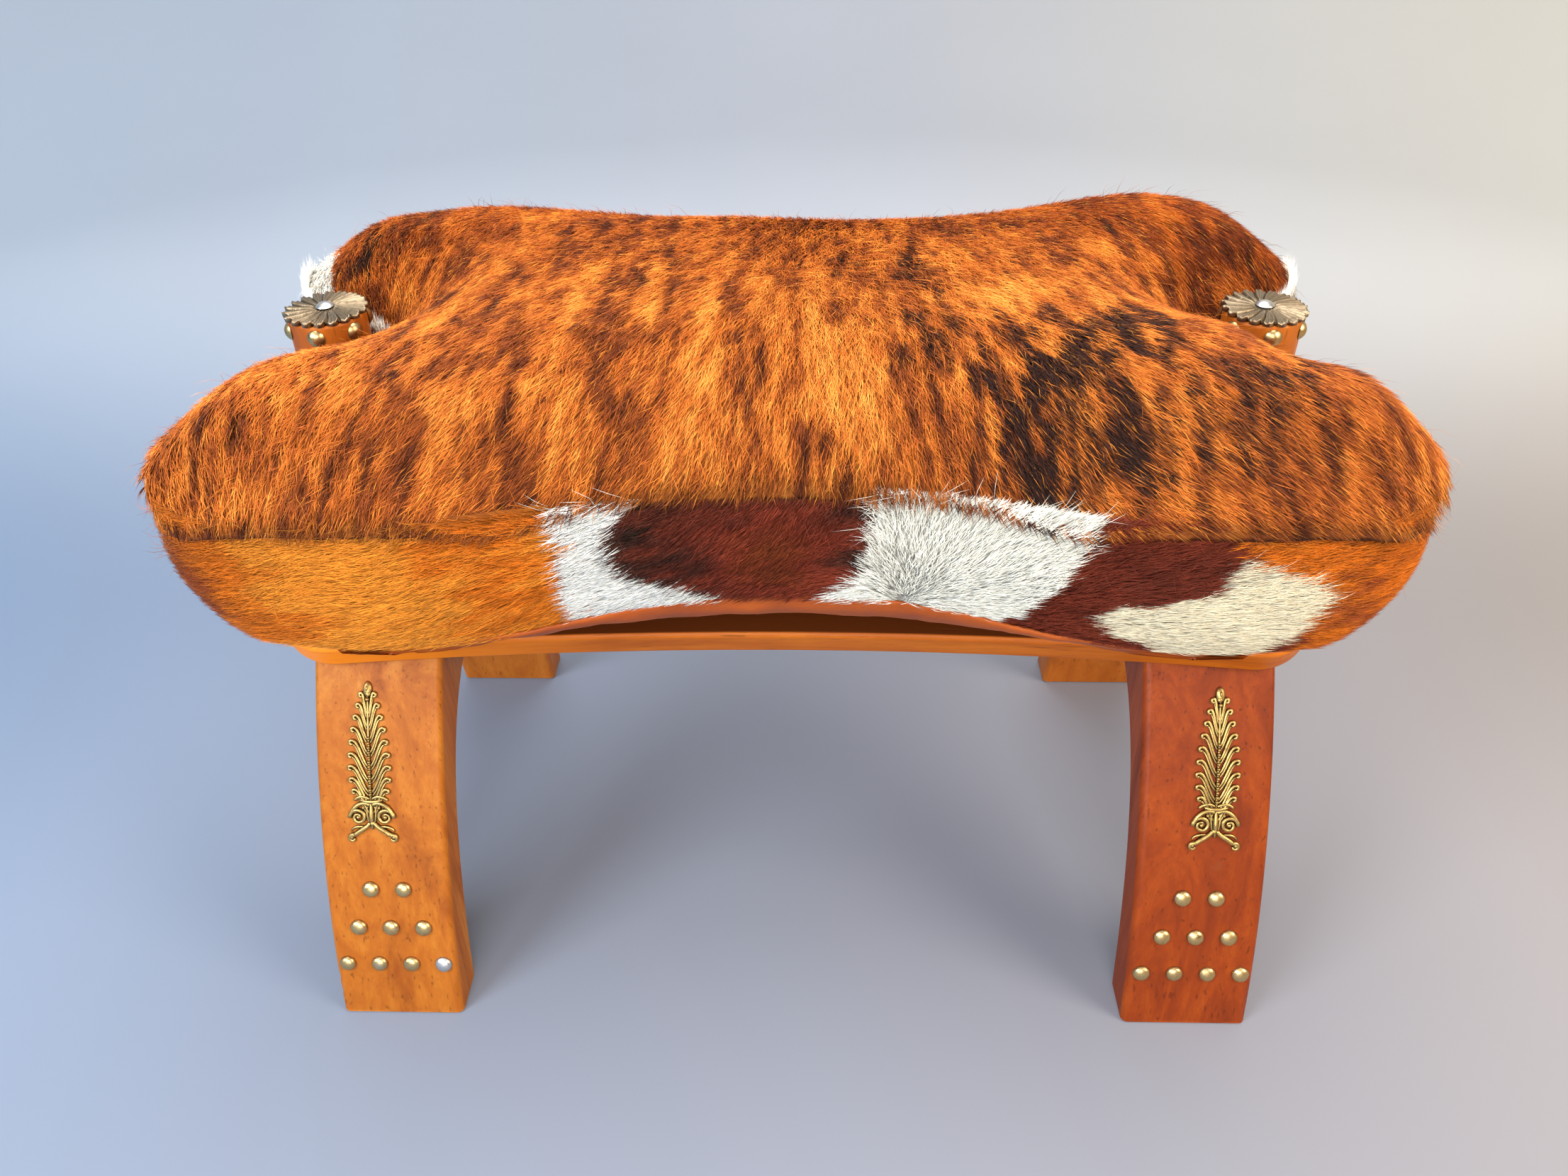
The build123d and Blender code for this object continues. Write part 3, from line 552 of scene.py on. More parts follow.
def quarter_points(inset=0.0, lobe_inset=0.0):
    """Outline from the right-hand notch to the rear waist: tangent arcs of a fixed number of points."""
    notch = np.array((POMMEL_X, 0.0))
    lobe = np.array(LOBE)
    waist = np.array((0.0, WAIST_DEPTH + WAIST_RADIUS))
    notch_arc, haunch_arc = NOTCH_RADIUS + lobe_inset, HAUNCH_RADIUS - lobe_inset
    lobe_arc, shoulder_arc = LOBE_RADIUS - lobe_inset, SHOULDER_RADIUS - lobe_inset
    waist_arc = WAIST_RADIUS + inset
    haunch = meeting_point(notch, haunch_arc + notch_arc, lobe, haunch_arc - lobe_arc)
    shoulder = meeting_point(lobe, shoulder_arc - lobe_arc, waist, shoulder_arc + waist_arc)
    centres = [notch, haunch, lobe, shoulder, waist]
    joints = [
        np.array((POMMEL_X - notch_arc, 0.0)),
        toward(notch, haunch, notch_arc),
        toward(haunch, lobe, haunch_arc),
        toward(shoulder, lobe, shoulder_arc),
        toward(waist, shoulder, waist_arc),
        np.array((0.0, WAIST_DEPTH - inset)),
    ]
    quarter = []
    for centre, start, end, samples in zip(centres, joints[:-1], joints[1:], ARC_SAMPLES):
        radius = np.linalg.norm(start - centre)
        first = math.atan2(*(start - centre)[::-1])
        turn = (math.atan2(*(end - centre)[::-1]) - first + math.pi) % TAU - math.pi
        angle = first + turn * np.linspace(0, 1, samples, endpoint=False)
        quarter.append(np.c_[centre[0] + radius * np.cos(angle), centre[1] + radius * np.sin(angle)])
    return np.vstack([*quarter, joints[-1][None]])


def ring_points(inset=0.0, lobe_inset=0.0):
    """Whole outline, counterclockwise from the right-hand notch."""
    quarter = quarter_points(inset, lobe_inset)
    rear = np.vstack([quarter, (quarter[::-1] * [-1, 1])[1:]])
    return np.vstack([rear, (rear[::-1] * [1, -1])[1:-1]])


RING = ring_points()
RING_COUNT = len(RING)
STEPS = np.linalg.norm(np.roll(RING, -1, 0) - RING, axis=1)
RING_LENGTHS = np.r_[0, np.cumsum(STEPS)]
PERIMETER = RING_LENGTHS[-1]


def ring_place(length):
    """Index along the ring, with its fraction, at a length along the upper seam."""
    return np.interp(length % PERIMETER, RING_LENGTHS, np.arange(RING_COUNT + 1))


def seam_outline(count):
    """Evenly spaced points of the upper seam."""
    place_at = ring_place(np.linspace(0, PERIMETER, count, endpoint=False))
    low = place_at.astype(int) % RING_COUNT
    share = (place_at % 1)[:, None]
    return RING[low] * (1 - share) + RING[(low + 1) % RING_COUNT] * share


def outward_normals(loop):
    """Flat outward normals of a closed counterclockwise loop."""
    step = unit(np.roll(loop, -1, 0) - np.roll(loop, 1, 0))
    return np.c_[step[:, 1], -step[:, 0]]


def inside(loop, x, y):
    """Which points lie inside a closed loop."""
    mask = np.zeros(x.shape, bool)
    for (x0, y0), (x1, y1) in zip(loop, np.roll(loop, -1, 0)):
        if y0 != y1:
            mask ^= ((y0 > y) != (y1 > y)) & (x < (x1 - x0) * (y - y0) / (y1 - y0) + x0)
    return mask


SEAM_LOOP = seam_outline(720)
HAIR_LOOP = seam_outline(360)


def seam_distance(x, y):
    """Distance from the upper seam, below 0 outside it."""
    far = np.empty(x.shape)
    batch = 4000
    for start in range(0, len(x), batch):
        part = slice(start, start + batch)
        gap = (x[part, None] - SEAM_LOOP[None, :, 0]) ** 2 + (y[part, None] - SEAM_LOOP[None, :, 1]) ** 2
        far[part] = np.sqrt(gap.min(1))
    return np.where(inside(SEAM_LOOP, x, y), far, -far)


def hills(x, y, table):
    """Sum of soft hills and hollows, given as (x, y, rise, reach) in millimetres."""
    total = np.zeros_like(x)
    for cx, cy, rise, reach in table:
        total = total + rise * MM * np.exp(-((x / MM - cx) ** 2 + (y / MM - cy) ** 2) / reach**2)
    return total


def spline_weights(share):
    """Weights of four neighbours for a smooth curve through them."""
    a, b = share, share * share
    c = b * share
    return np.stack([
        -0.5 * a + b - 0.5 * c,
        1 - 2.5 * b + 1.5 * c,
        0.5 * a + 2 * b - 1.5 * c,
        -0.5 * b + 0.5 * c,
    ])


class Field:
    """Smooth heights through a grid of stations."""

    def __init__(self, across, rows, step, heights):
        self.across, self.rows, self.step, self.heights = across, rows, step, heights

    def at(self, x, y):
        fx = np.clip(x / self.step + self.across, 1, 2 * self.across - 1.001)
        fy = np.clip(y / self.step + self.rows, 1, 2 * self.rows - 1.001)
        ix, iy = fx.astype(int), fy.astype(int)
        wx, wy = spline_weights(fx - ix), spline_weights(fy - iy)
        total = np.zeros_like(fx)
        for j in range(4):
            for i in range(4):
                total += self.heights[iy + j - 1, ix + i - 1] * wx[i] * wy[j]
        return total


def plan_grid(across, rows, step):
    """Plan points, evenly spaced to both sides of the middle, with their distance from the seam."""
    x, y = np.meshgrid(np.arange(-across, across + 1) * step, np.arange(-rows, rows + 1) * step)
    return x, y, seam_distance(x.ravel(), y.ravel()).reshape(x.shape)


def stuffed_top():
    """The smooth top before the rim cuts it off."""
    x, y, depth = plan_grid(*STATIONS, STATION_STEP)
    pillow = CROWN_RISE * (1 - np.exp(-np.maximum(depth, -DEPTH_LIMIT) / CROWN_RIM_REACH))
    return Field(*STATIONS, STATION_STEP, pillow + hills(x, y, SWELLS))


def crown_field():
    """Height above the seam on a fine grid: the lower of rim and top, blended where they meet."""
    x, y, depth = plan_grid(*CROWN_GRID, CROWN_STEP)
    rim = np.interp(depth / MM, RIM_INSETS, RIM_RISES) * MM
    rim = np.where(depth < 0, depth * OUTSIDE_SLOPE, rim)
    top = stuffed_top().at(x, y) + hills(x, y, SLUMPS)
    gap = np.clip(0.5 + 0.5 * (top - rim) / RIM_BLEND, 0, 1)
    height = rim * gap + top * (1 - gap) - RIM_BLEND * gap * (1 - gap)
    soft = height
    for _ in range(3):
        soft = sum((np.roll(soft, shift, axis) for axis in (0, 1) for shift in (1, -1)), soft) / 5
    deep = np.clip(depth / SOFT_DEPTH, 0, 1)
    return Field(*CROWN_GRID, CROWN_STEP, height * (1 - deep) + soft * deep)


CROWN = crown_field()


def height_map(x, y):
    """Points of the top hide's skin over points of the plan."""
    return np.c_[x, y, SEAM_Z + CROWN.at(x, y)]


def soft_noise(x, y, scale, seed, octaves=3):
    """Smooth value noise in the plane, from -1 to 1, the same on every run."""
    total, weight = np.zeros_like(x), 0.0
    for octave in range(octaves):
        table = rng(seed + octave).random((64, 64)) * 2 - 1
        u, v = x / scale * 2**octave, y / scale * 2**octave
        iu, iv = np.floor(u).astype(int), np.floor(v).astype(int)
        fu, fv = u - iu, v - iv
        fu, fv = fu * fu * (3 - 2 * fu), fv * fv * (3 - 2 * fv)
        a = table[iv % 64, iu % 64] * (1 - fu) + table[iv % 64, (iu + 1) % 64] * fu
        b = table[(iv + 1) % 64, iu % 64] * (1 - fu) + table[(iv + 1) % 64, (iu + 1) % 64] * fu
        total += (a * (1 - fv) + b * fv) * 0.5**octave
        weight += 0.5**octave
    return total / weight


# Colours of the hides, linear
GOLD = np.array((0.92, 0.335, 0.045))
ORANGE = np.array((0.62, 0.160, 0.016))
RUSSET = np.array((0.36, 0.078, 0.010))
RED_BROWN = np.array((0.17, 0.034, 0.007))
BLACK_BROWN = np.array((0.024, 0.010, 0.006))
TAN = np.array((0.84, 0.300, 0.028))
DEEP_TAN = np.array((0.60, 0.150, 0.008))
CREAM = np.array((0.87, 0.80, 0.60))
WHITE = np.array((0.99, 0.98, 0.88))
MAROON = np.array((0.25, 0.038, 0.016))

# Brindle of the top, as (x, y, reach along x, reach along y, amount), lengths in millimetres
GOLD_PATCHES = (
    (-198, -60, 8, 60, 0.6), (-228, -110, 12, 40, 0.4), (-170, -45, 9, 40, 0.5), (-106, -50, 9, 50, 0.6),
    (-108, -115, 12, 26, 0.7), (-68, -30, 7, 60, 0.5), (-40, -50, 9, 66, 0.7), (-10, -45, 6, 70, 0.6),
    (16, -85, 8, 60, 0.8), (40, -110, 10, 36, 0.7), (80, 22, 22, 16, 0.5), (110, -36, 26, 18, 0.6),
    (174, 34, 20, 12, 0.5), (-134, 92, 8, 50, 0.7), (208, 108, 6, 46, 1.0), (130, 105, 12, 40, 0.5),
    (-270, -60, 20, 30, 0.3), (-150, -130, 16, 22, 0.5), (150, -30, 18, 12, 0.4), (-60, 90, 30, 26, 0.3),
    (30, 60, 40, 30, 0.3), (185, -60, 14, 12, 0.3), (-200, -120, 8, 24, 0.5), (-90, 10, 8, 30, 0.4),
)
DARK_PATCHES = (
    (143, -95, 32, 38, 0.56), (128, -112, 18, 22, 0.26), (160, -70, 26, 22, 0.28), (100, -114, 24, 26, 0.44),
    (150, -142, 56, 18, 0.52), (205, -128, 36, 26, 0.40), (62, -70, 16, 44, 0.34), (92, -58, 26, 32, 0.28),
    (64, 2, 10, 24, 0.34), (100, -6, 26, 22, 0.26), (175, 62, 16, 22, 0.30), (178, 24, 18, 14, 0.28),
    (188, 128, 5, 30, 0.50), (266, 92, 24, 46, 0.36), (-242, 66, 10, 26, 0.56), (-210, 128, 7, 26, 0.34),
    (-182, -94, 5, 40, 0.42), (-141, -24, 6, 26, 0.46), (-125, -50, 5, 16, 0.30), (-88, -120, 7, 20, 0.22),
    (-75, -30, 5, 30, 0.20), (220, -108, 14, 22, 0.30), (255, -70, 34, 44, 0.20), (240, -20, 20, 20, 0.15),
    (-60, 5, 5, 30, 0.16), (28, -30, 5, 40, 0.18), (-150, 60, 14, 30, 0.10), (-265, -130, 16, 12, 0.22),
)
RED_PATCHES = (
    (-182, -90, 9, 60, 0.7), (-142, -40, 12, 60, 0.7), (-125, -90, 7, 40, 0.5), (-88, -60, 8, 80, 0.6),
    (-55, -10, 6, 50, 0.3), (-24, -60, 5, 70, 0.5), (2, -100, 6, 50, 0.3), (62, -60, 14, 60, 0.7),
    (0, 90, 300, 22, 0.15), (-215, 95, 26, 60, 0.45), (-95, 70, 26, 50, 0.4), (235, -85, 50, 60, 0.75),
    (266, 92, 30, 60, 0.8), (165, 70, 22, 60, 0.6), (60, 100, 24, 40, 0.35), (130, -130, 70, 30, 0.5),
    (-250, -20, 30, 30, 0.3), (220, 10, 30, 30, 0.45), (95, 60, 20, 40, 0.4), (-240, -140, 40, 14, 0.3),
)

# Colour patches of the front band: outlines in x in millimetres and share of the band's height.
# The rear whites of the top are outlines in the plan, in millimetres.
FIRST_WHITE = ((-103, -0.2), (-103, 1.2), (-66, 1.2), (-66, 0.93), (-79, 0.81), (-85, 0.72), (-77, 0.47),
               (-59, 0.29), (-30, 0.0), (-30, -0.2))
SECOND_WHITE = ((44, 1.2), (41, 0.80), (39, 0.54), (30, 0.25), (12, -0.03), (10, -0.2), (90, -0.2), (99, 0.0),
                (113, 0.28), (126, 0.58), (135, 0.80), (148, 1.2))
CRESCENT = ((203, 0.86), (216, 0.80), (235, 0.70), (248, 0.58), (238, 0.28), (226, -0.05), (220, -0.2),
            (180, -0.2), (178, 0.10), (152, 0.18), (146, 0.30), (152, 0.46), (172, 0.54), (190, 0.62))
REAR_WHITE_LEFT = ((-320, 36), (-262, 40), (-272, 66), (-277, 96), (-287, 126), (-320, 132))
REAR_WHITE_RIGHT = ((320, 52), (290, 58), (294, 90), (296, 112), (320, 122))
MAROON_PATCH = ((-90, 1.2), (-96, 0.3), (-40, -0.2), (32, -0.2), (56, 1.2))
DARK_MIDDLE = ((78, -0.2), (148, 1.2), (190, 1.2), (200, 0.9), (236, 0.66), (240, 0.45), (244, 0.05),
               (238, -0.2))


def patches(x, y, table):
    """Sum of soft ellipses given in millimetres."""
    total = np.zeros_like(x)
    for cx, cy, rx, ry, amount in table:
        gap = ((x / MM - cx) / rx) ** 2 + ((y / MM - cy) / ry) ** 2
        total += amount * np.exp(-gap)
    return total


def blend_colors(value, *stops):
    """Colours between stops at 0, evenly spaced, to 1."""
    value = np.clip(value, 0, 1) * (len(stops) - 1)
    low = np.minimum(value.astype(int), len(stops) - 2)
    share = (value - low)[:, None]
    table = np.array(stops)
    return table[low] * (1 - share) + table[low + 1] * share


def top_color(x, y):
    """Brindle colour of the top hide over the plan: tuft streaks, gold to russet, with dark flecks."""
    lean = np.interp(x / MM, (-300, -140, 0, 150, 300), (0.05, -0.35, -0.1, 0.5, 0.8))
    wander = soft_noise(x, y, 60 * MM, 5, 2) * 4 * MM
    across = x + (y + 0.1) * lean * 0.35 + wander
    wx, wy = x + wander * 1.5, y + soft_noise(y, x, 30 * MM, 8, 2) * 8 * MM
    streak = soft_noise(across, y * 0.25, 11 * MM, 11, 3)
    fine = soft_noise(across, y * 0.34, 4.2 * MM, 31, 2)
    fleck = soft_noise(across, y * 0.26, 2.2 * MM, 41, 2)
    tone = 0.37 + 0.46 * patches(wx, wy, GOLD_PATCHES) - 0.34 * patches(wx, wy, RED_PATCHES)
    tone = tone + 0.34 * streak + 0.46 * fine + 0.38 * fleck
    color = blend_colors(tone, RED_BROWN, RUSSET, ORANGE, (ORANGE + GOLD) / 2, GOLD)
    depth = patches(wx, wy, DARK_PATCHES)
    mottle = 0.45 * streak + 1.15 * fine + 1.00 * fleck
    dark = np.clip((1.75 * depth - 0.70 - mottle) * 1.7, 0, 0.92)[:, None]
    black = np.clip(depth * 2.4, 0, 1)[:, None]
    return color * (1 - dark) + (RED_BROWN * 0.45 * (1 - black) + BLACK_BROWN * black) * dark


def top_hair_color(x, y):
    """Brindle colour, paler to the front and deeper to the rear, with white ends of the rear lobes."""
    share = np.clip((y + 110 * MM) / (230 * MM), 0, 1)[:, None]
    pale_tint, deep_tint = np.array((1.24, 1.38, 1.90)), np.array((0.82, 0.68, 0.40))
    color = top_color(x, y) * (pale_tint * (1 - share) + deep_tint * share)
    right = np.clip((x - 60 * MM) / (120 * MM), 0, 1)
    deep = (right * np.clip((y - 20 * MM) / (60 * MM), 0, 1))[:, None]
    color = color * (1 - deep * np.array((0.15, 0.25, 0.45)))
    wobble = soft_noise(x, y, 12 * MM, 61, 2) * 4
    ends = [polygon_mask(x / MM + wobble, y / MM, outline) for outline in (REAR_WHITE_LEFT, REAR_WHITE_RIGHT)]
    pale = np.maximum(*ends)[:, None]
    return color * (1 - pale) + WHITE * 0.97 * pale


def polygon_mask(x, y, corners):
    """1 inside an outline and 0 outside it."""
    return inside(np.array(corners, float), x, y).astype(float)


def band_color(x, y, share):
    """Pied colour of the band: patches on the front, tan round the lobes, white at the rear ends."""
    mm_x = x / MM
    high = share * BAND_HEIGHT
    wx = mm_x + soft_noise(x, high, 14 * MM, 71, 3) * 5
    ws = share + soft_noise(x, high, 14 * MM, 81, 3) * 0.06
    front = (y < 0).astype(float)
    grain = soft_noise(x * 0.35 + y * 0.2, high, 6 * MM, 91, 3)
    broad = soft_noise(x + y, high, 44 * MM, 95, 2)
    tone = 0.50 + 0.36 * grain + 0.30 * broad
    tone += 0.35 * np.exp(-(((mm_x + 215) / 60) ** 2)) * front - 0.45 * np.exp(-(((mm_x + 272) / 22) ** 2))
    tone -= np.clip((mm_x - 205) / 60, 0, 1) * (0.18 + 0.30 * (1 - share)) * front
    color = blend_colors(tone, RED_BROWN * 1.7, DEEP_TAN, DEEP_TAN * 1.15, TAN, TAN * 1.05)
    # Painted shade: the top 5 % of the band is darkened by up to 45 %, for the shadow under the top's
    # overhanging hair.
    color = color * (1 - 0.45 * np.clip((share - 0.95) / 0.05, 0, 1))[:, None]
    dark = (polygon_mask(wx, ws, DARK_MIDDLE) * front)[:, None]
    brown = blend_colors(0.4 + 0.6 * grain, MAROON * 0.45, MAROON * 0.7, RED_BROWN * 0.9)
    color = color * (1 - dark) + brown * dark
    maroon = (polygon_mask(wx, ws, MAROON_PATCH) * front)[:, None]
    heart = np.exp(-(((mm_x + 5) / 26) ** 2) - ((share - 0.45) / 0.5) ** 2)
    deep = blend_colors(0.15 + 0.75 * heart + 0.35 * grain, BLACK_BROWN * 1.3, MAROON, RED_BROWN * 1.25)
    color = color * (1 - maroon) + deep * maroon
    white = np.clip(polygon_mask(wx, ws, FIRST_WHITE) + polygon_mask(wx, ws, SECOND_WHITE), 0, 1)
    pale = (white * front)[:, None]
    warm = (polygon_mask(wx, ws, CRESCENT) * front)[:, None]
    shade = (0.92 + 0.08 * grain)[:, None]
    cool = np.array((0.97, 0.98, 1.04))
    first = np.clip((-40 - mm_x) / 20, 0, 1)[:, None]
    color = color * (1 - pale) + WHITE * shade * (cool * first + (1 - first)) * pale
    color = color * (1 - warm) + CREAM * shade * warm
    rear = ((y > 26 * MM) & (y < 128 * MM) & (np.abs(mm_x) > 228)).astype(float)[:, None]
    return color * (1 - rear) + WHITE * 0.97 * rear


def rounded(at, stops, values, reach=6.0):
    """Values through stops, with the corners rounded."""
    return np.mean([np.interp(at + k * reach / 4, stops, values) for k in range(-4, 5)], axis=0)


class Walls:
    """The cushion's sides: rings at many depths below the upper seam, in millimetres."""

    def __init__(self, levels, drops, waist_insets, lobe_insets, count=60):
        self.top, self.bottom, self.count = *levels, count
        depths = np.linspace(*levels, count)
        insets = (rounded(depths, drops, values) * MM for values in (waist_insets, lobe_insets))
        self.rings = np.stack([ring_points(waist, lobe) for waist, lobe in zip(*insets)])

    def at(self, place_at, drop):
        row = (drop - self.top) / (self.bottom - self.top) * (self.count - 1)
        row = np.clip(row, 0, self.count - 1.001)
        r, i = row.astype(int), place_at.astype(int) % RING_COUNT
        fr, fi, n = (row - r)[:, None], (place_at % 1)[:, None], (i + 1) % RING_COUNT
        near = self.rings[r, i] * (1 - fi) + self.rings[r, n] * fi
        far = self.rings[r + 1, i] * (1 - fi) + self.rings[r + 1, n] * fi
        return np.c_[near * (1 - fr) + far * fr, SEAM_Z - drop * MM]


BAND = Walls(BAND_LEVELS, BAND_DROPS, BAND_WAIST_INSETS, BAND_LOBE_INSETS)
BASE = Walls(BASE_LEVELS, BASE_DROPS, BASE_WAIST_INSETS, BASE_LOBE_INSETS)
RING_NORMALS = outward_normals(RING)


def lower_seam_drop(x):
    """How far the lower seam lies below the upper one, in millimetres."""
    return rounded(np.abs(x) / MM, LOWER_SEAM_PLACES, LOWER_SEAM_DROPS, 30.0)


def ring_normal(length):
    """Flat outward direction of the seam at a length."""
    return RING_NORMALS[np.round(ring_place(length)).astype(int) % RING_COUNT]


def band_point(length, share):
    """Point of the band's skin at a length along the seam and a share of its height."""
    place_at = ring_place(length)
    x = RING[place_at.astype(int) % RING_COUNT, 0]
    return BAND.at(place_at, (1 - share) * lower_seam_drop(x))


def spine_points(loop, share):
    """Points on the middle line that a loop of points shrinks to."""
    return np.c_[np.clip(loop[:, 0] * share, -SPINE_REACH, SPINE_REACH), np.zeros(len(loop))]


def plan_rings(count, rows):
    """Plan points on rings that shrink from the seam to a spine along the middle."""
    loop = seam_outline(count)
    spine = spine_points(loop, 0.55)
    share = np.arange(rows) / (rows - 1)
    return loop[None] + (spine - loop)[None] * share[:, None, None] * 0.985


def make_top_skin(material):
    """The top hide's skin under the hair: closed shell with the seam drawn in."""
    count, rows = 600, 80
    x, y = plan_rings(count, rows).reshape(-1, 2).T
    outer = height_map(x, y)
    outer[:, 2] += soft_noise(x, y, 55 * MM, 201, 2) * 0.8 * MM
    outer[:, 2] -= np.repeat(np.exp(-np.arange(rows) / 1.5), count) * 1.5 * MM
    verts = np.vstack([outer, outer - [0, 0, HIDE_THICKNESS]])
    skin = mesh_object("top_hide_skin", verts, shell_faces(rows, count), material)
    # Painted shade: the skin is painted at 0.45 of the brindle so the gaps between hairs read dark, and its
    # inner sheet at 0.6 of that.
    color = top_color(x, y) * 0.45
    paint(skin, np.vstack([color, color * 0.6]))
    return skin


def make_band_skin(material, name, start, end):
    """One piece of the band's skin, between two lengths along the seam."""
    columns, rows = max(12, int((end - start) / (3 * MM))), 30
    length = np.linspace(start, end, columns)
    share = np.linspace(0, 1, rows)
    grid_length = np.tile(length, rows)
    grid_share = np.repeat(share, columns)
    outer = band_point(grid_length, grid_share)
    normal = ring_normal(grid_length)
    tuck = np.exp(-(1 - grid_share) / 0.04) + 0.5 * np.exp(-grid_share / 0.05)
    ends = np.exp(-(grid_length - start) / (1.5 * MM)) + np.exp(-(end - grid_length) / (1.5 * MM))
    outer[:, :2] -= normal * (tuck * 2.0 * MM + ends * 2.0 * MM)[:, None]
    inner = outer.copy()
    inner[:, :2] -= normal * HIDE_THICKNESS
    total = rows * columns
    faces = grid_faces(rows, columns)
    bottom = np.arange(columns - 1)
    top = bottom + (rows - 1) * columns
    side = np.arange(rows - 1) * columns
    far = side + columns - 1
    strips = [
        faces,
        faces[:, ::-1] + total,
        np.stack([bottom + total, bottom + 1 + total, bottom + 1, bottom], -1),
        np.stack([top, top + 1, top + 1 + total, top + total], -1),
        np.stack([side, side + columns, side + columns + total, side + total], -1),
        np.stack([far + total, far + columns + total, far + columns, far], -1),
    ]
    skin = mesh_object(name, np.vstack([outer, inner]), strips, material)
    # Painted shade: the skin is painted at half the band's colour so the gaps between hairs read dark, and
    # its inner sheet at 0.6 of that.
    color = band_color(outer[:, 0], outer[:, 1], grid_share) * 0.5
    paint(skin, np.vstack([color, color * 0.6]))
    return skin


# Hair


def hair_strands(name, roots, normals, leans, lengths, widths, colors, lift, seed, material, tip=1.18):
    """Closed, bent and tapered three-sided hairs, each with its own small cell of the UV map."""
    draw = rng(seed)
    count = len(roots)
    side = unit(np.cross(normals, leans))
    bend = draw.normal(0, 0.12, count)[:, None] * side
    stops = np.array([0.0, 0.5, 1.0])
    shapes = np.array([1.0, 0.85])
    rise = lift[:, None] * (stops - 0.5 * stops**2) * 2
    line = (roots[:, None] + leans[:, None] * (lengths[:, None] * stops)[..., None]
            + normals[:, None] * (lengths[:, None] * rise)[..., None]
            + bend[:, None] * (lengths[:, None] * stops**2)[..., None])
    angle = np.array([math.pi / 2, math.pi * 7 / 6, math.pi * 11 / 6])
    across, up = np.cos(angle)[None, :, None], np.sin(angle)[None, :, None]
    ring = across * side[:, None] * 1.3 + up * normals[:, None]
    body = line[:, :2, None] + ring[:, None] * (widths[:, None] * shapes)[..., None, None]
    verts = np.concatenate([body.reshape(count, 6, 3), line[:, 2:3]], 1).reshape(-1, 3)
    quads = [[j, (j + 1) % 3, 3 + (j + 1) % 3, 3 + j] for j in range(3)]
    tips = [[3 + j, 3 + (j + 1) % 3, 6] for j in range(3)] + [[2, 1, 0]]
    base = (np.arange(count) * 7)[:, None, None]
    quad_faces = (np.array(quads)[None] + base).reshape(-1, 4)
    tip_faces = (np.array(tips)[None] + base).reshape(-1, 3)
    hair = mesh_object(name, verts, [quad_faces, tip_faces], material)
    # Painted light along each hair: the root ring at half colour is painted shade deep in the fur, and a tip
    # factor above 1 is a painted highlight on the tip.
    along = np.array([0.50] * 3 + [0.98] * 3 + [tip])
    paint(hair, (colors[:, None] * along[None, :, None]).reshape(-1, 3))
    cells = math.ceil(math.sqrt(count))
    index = np.arange(count)
    corner = np.stack([index % cells, index // cells], -1) / cells
    spot = np.array([(u, v) for v in (0.1, 0.5) for u in (0.1, 0.5, 0.9)] + [(0.5, 0.9)]) / cells
    flat = (corner[:, None] + spot[None]).reshape(-1, 2)
    loops = np.concatenate([quad_faces.reshape(-1), tip_faces.reshape(-1)])
    layer = hair.data.uv_layers.new(name="OFBake")
    layer.data.foreach_set("uv", flat[loops].astype(np.float32).reshape(-1))
    return hair


def surface_normals(function, first, second, step=0.5 * MM):
    """Normals of a surface given as a function of two coordinates, by small steps."""
    here = function(first, second)
    return unit(np.cross(function(first + step, second) - here, function(first, second + step) - here))


def tangent(direction, normal):
    """The part of a direction that lies in the surface, as a unit vector."""
    return unit(direction - normal * np.sum(direction * normal, 1)[:, None])


def clump(roots, normals, leans, lengths, size, pull, seed):
    """Lean hairs of one tuft towards the tuft's middle, so that their tips gather."""
    wobble = rng(seed).normal(0, 0.25 * size, roots.shape)
    cell = np.floor((roots + wobble) / size).astype(np.int64)
    key = (cell[:, 0] * 73856093) ^ (cell[:, 1] * 19349663) ^ (cell[:, 2] * 83492791)
    tuft = np.unique(key, return_inverse=True)[1].reshape(-1)
    weight = np.bincount(tuft)
    middle = np.stack([np.bincount(tuft, roots[:, k]) / weight for k in range(3)], -1)[tuft]
    shift = (middle - roots) * pull / np.maximum(lengths, 1e-6)[:, None]
    return tangent(leans + shift, normals), tuft


def plan_points(draw, reach_x, reach_y, tries, count):
    """Random points of the top hide's plan, no more than a number of them."""
    x = draw.uniform(-reach_x, reach_x, tries)
    y = draw.uniform(-reach_y, reach_y, tries)
    keep = inside(HAIR_LOOP, x, y)
    return x[keep][:count], y[keep][:count]


def top_lean(x, y):
    """Direction of the hair on the top: forward, turning to the sides, a little uneven."""
    spread = np.interp(x / MM, (-300, -230, -140, -60, 0, 80, 160, 260, 300),
                       (0.35, 0.05, -0.42, -0.38, -0.12, 0.20, 0.62, 0.95, 1.05))
    spread = spread + 0.20 * soft_noise(x, y, 40 * MM, 131, 2)
    return np.c_[spread, -np.ones_like(x), np.zeros_like(x)]


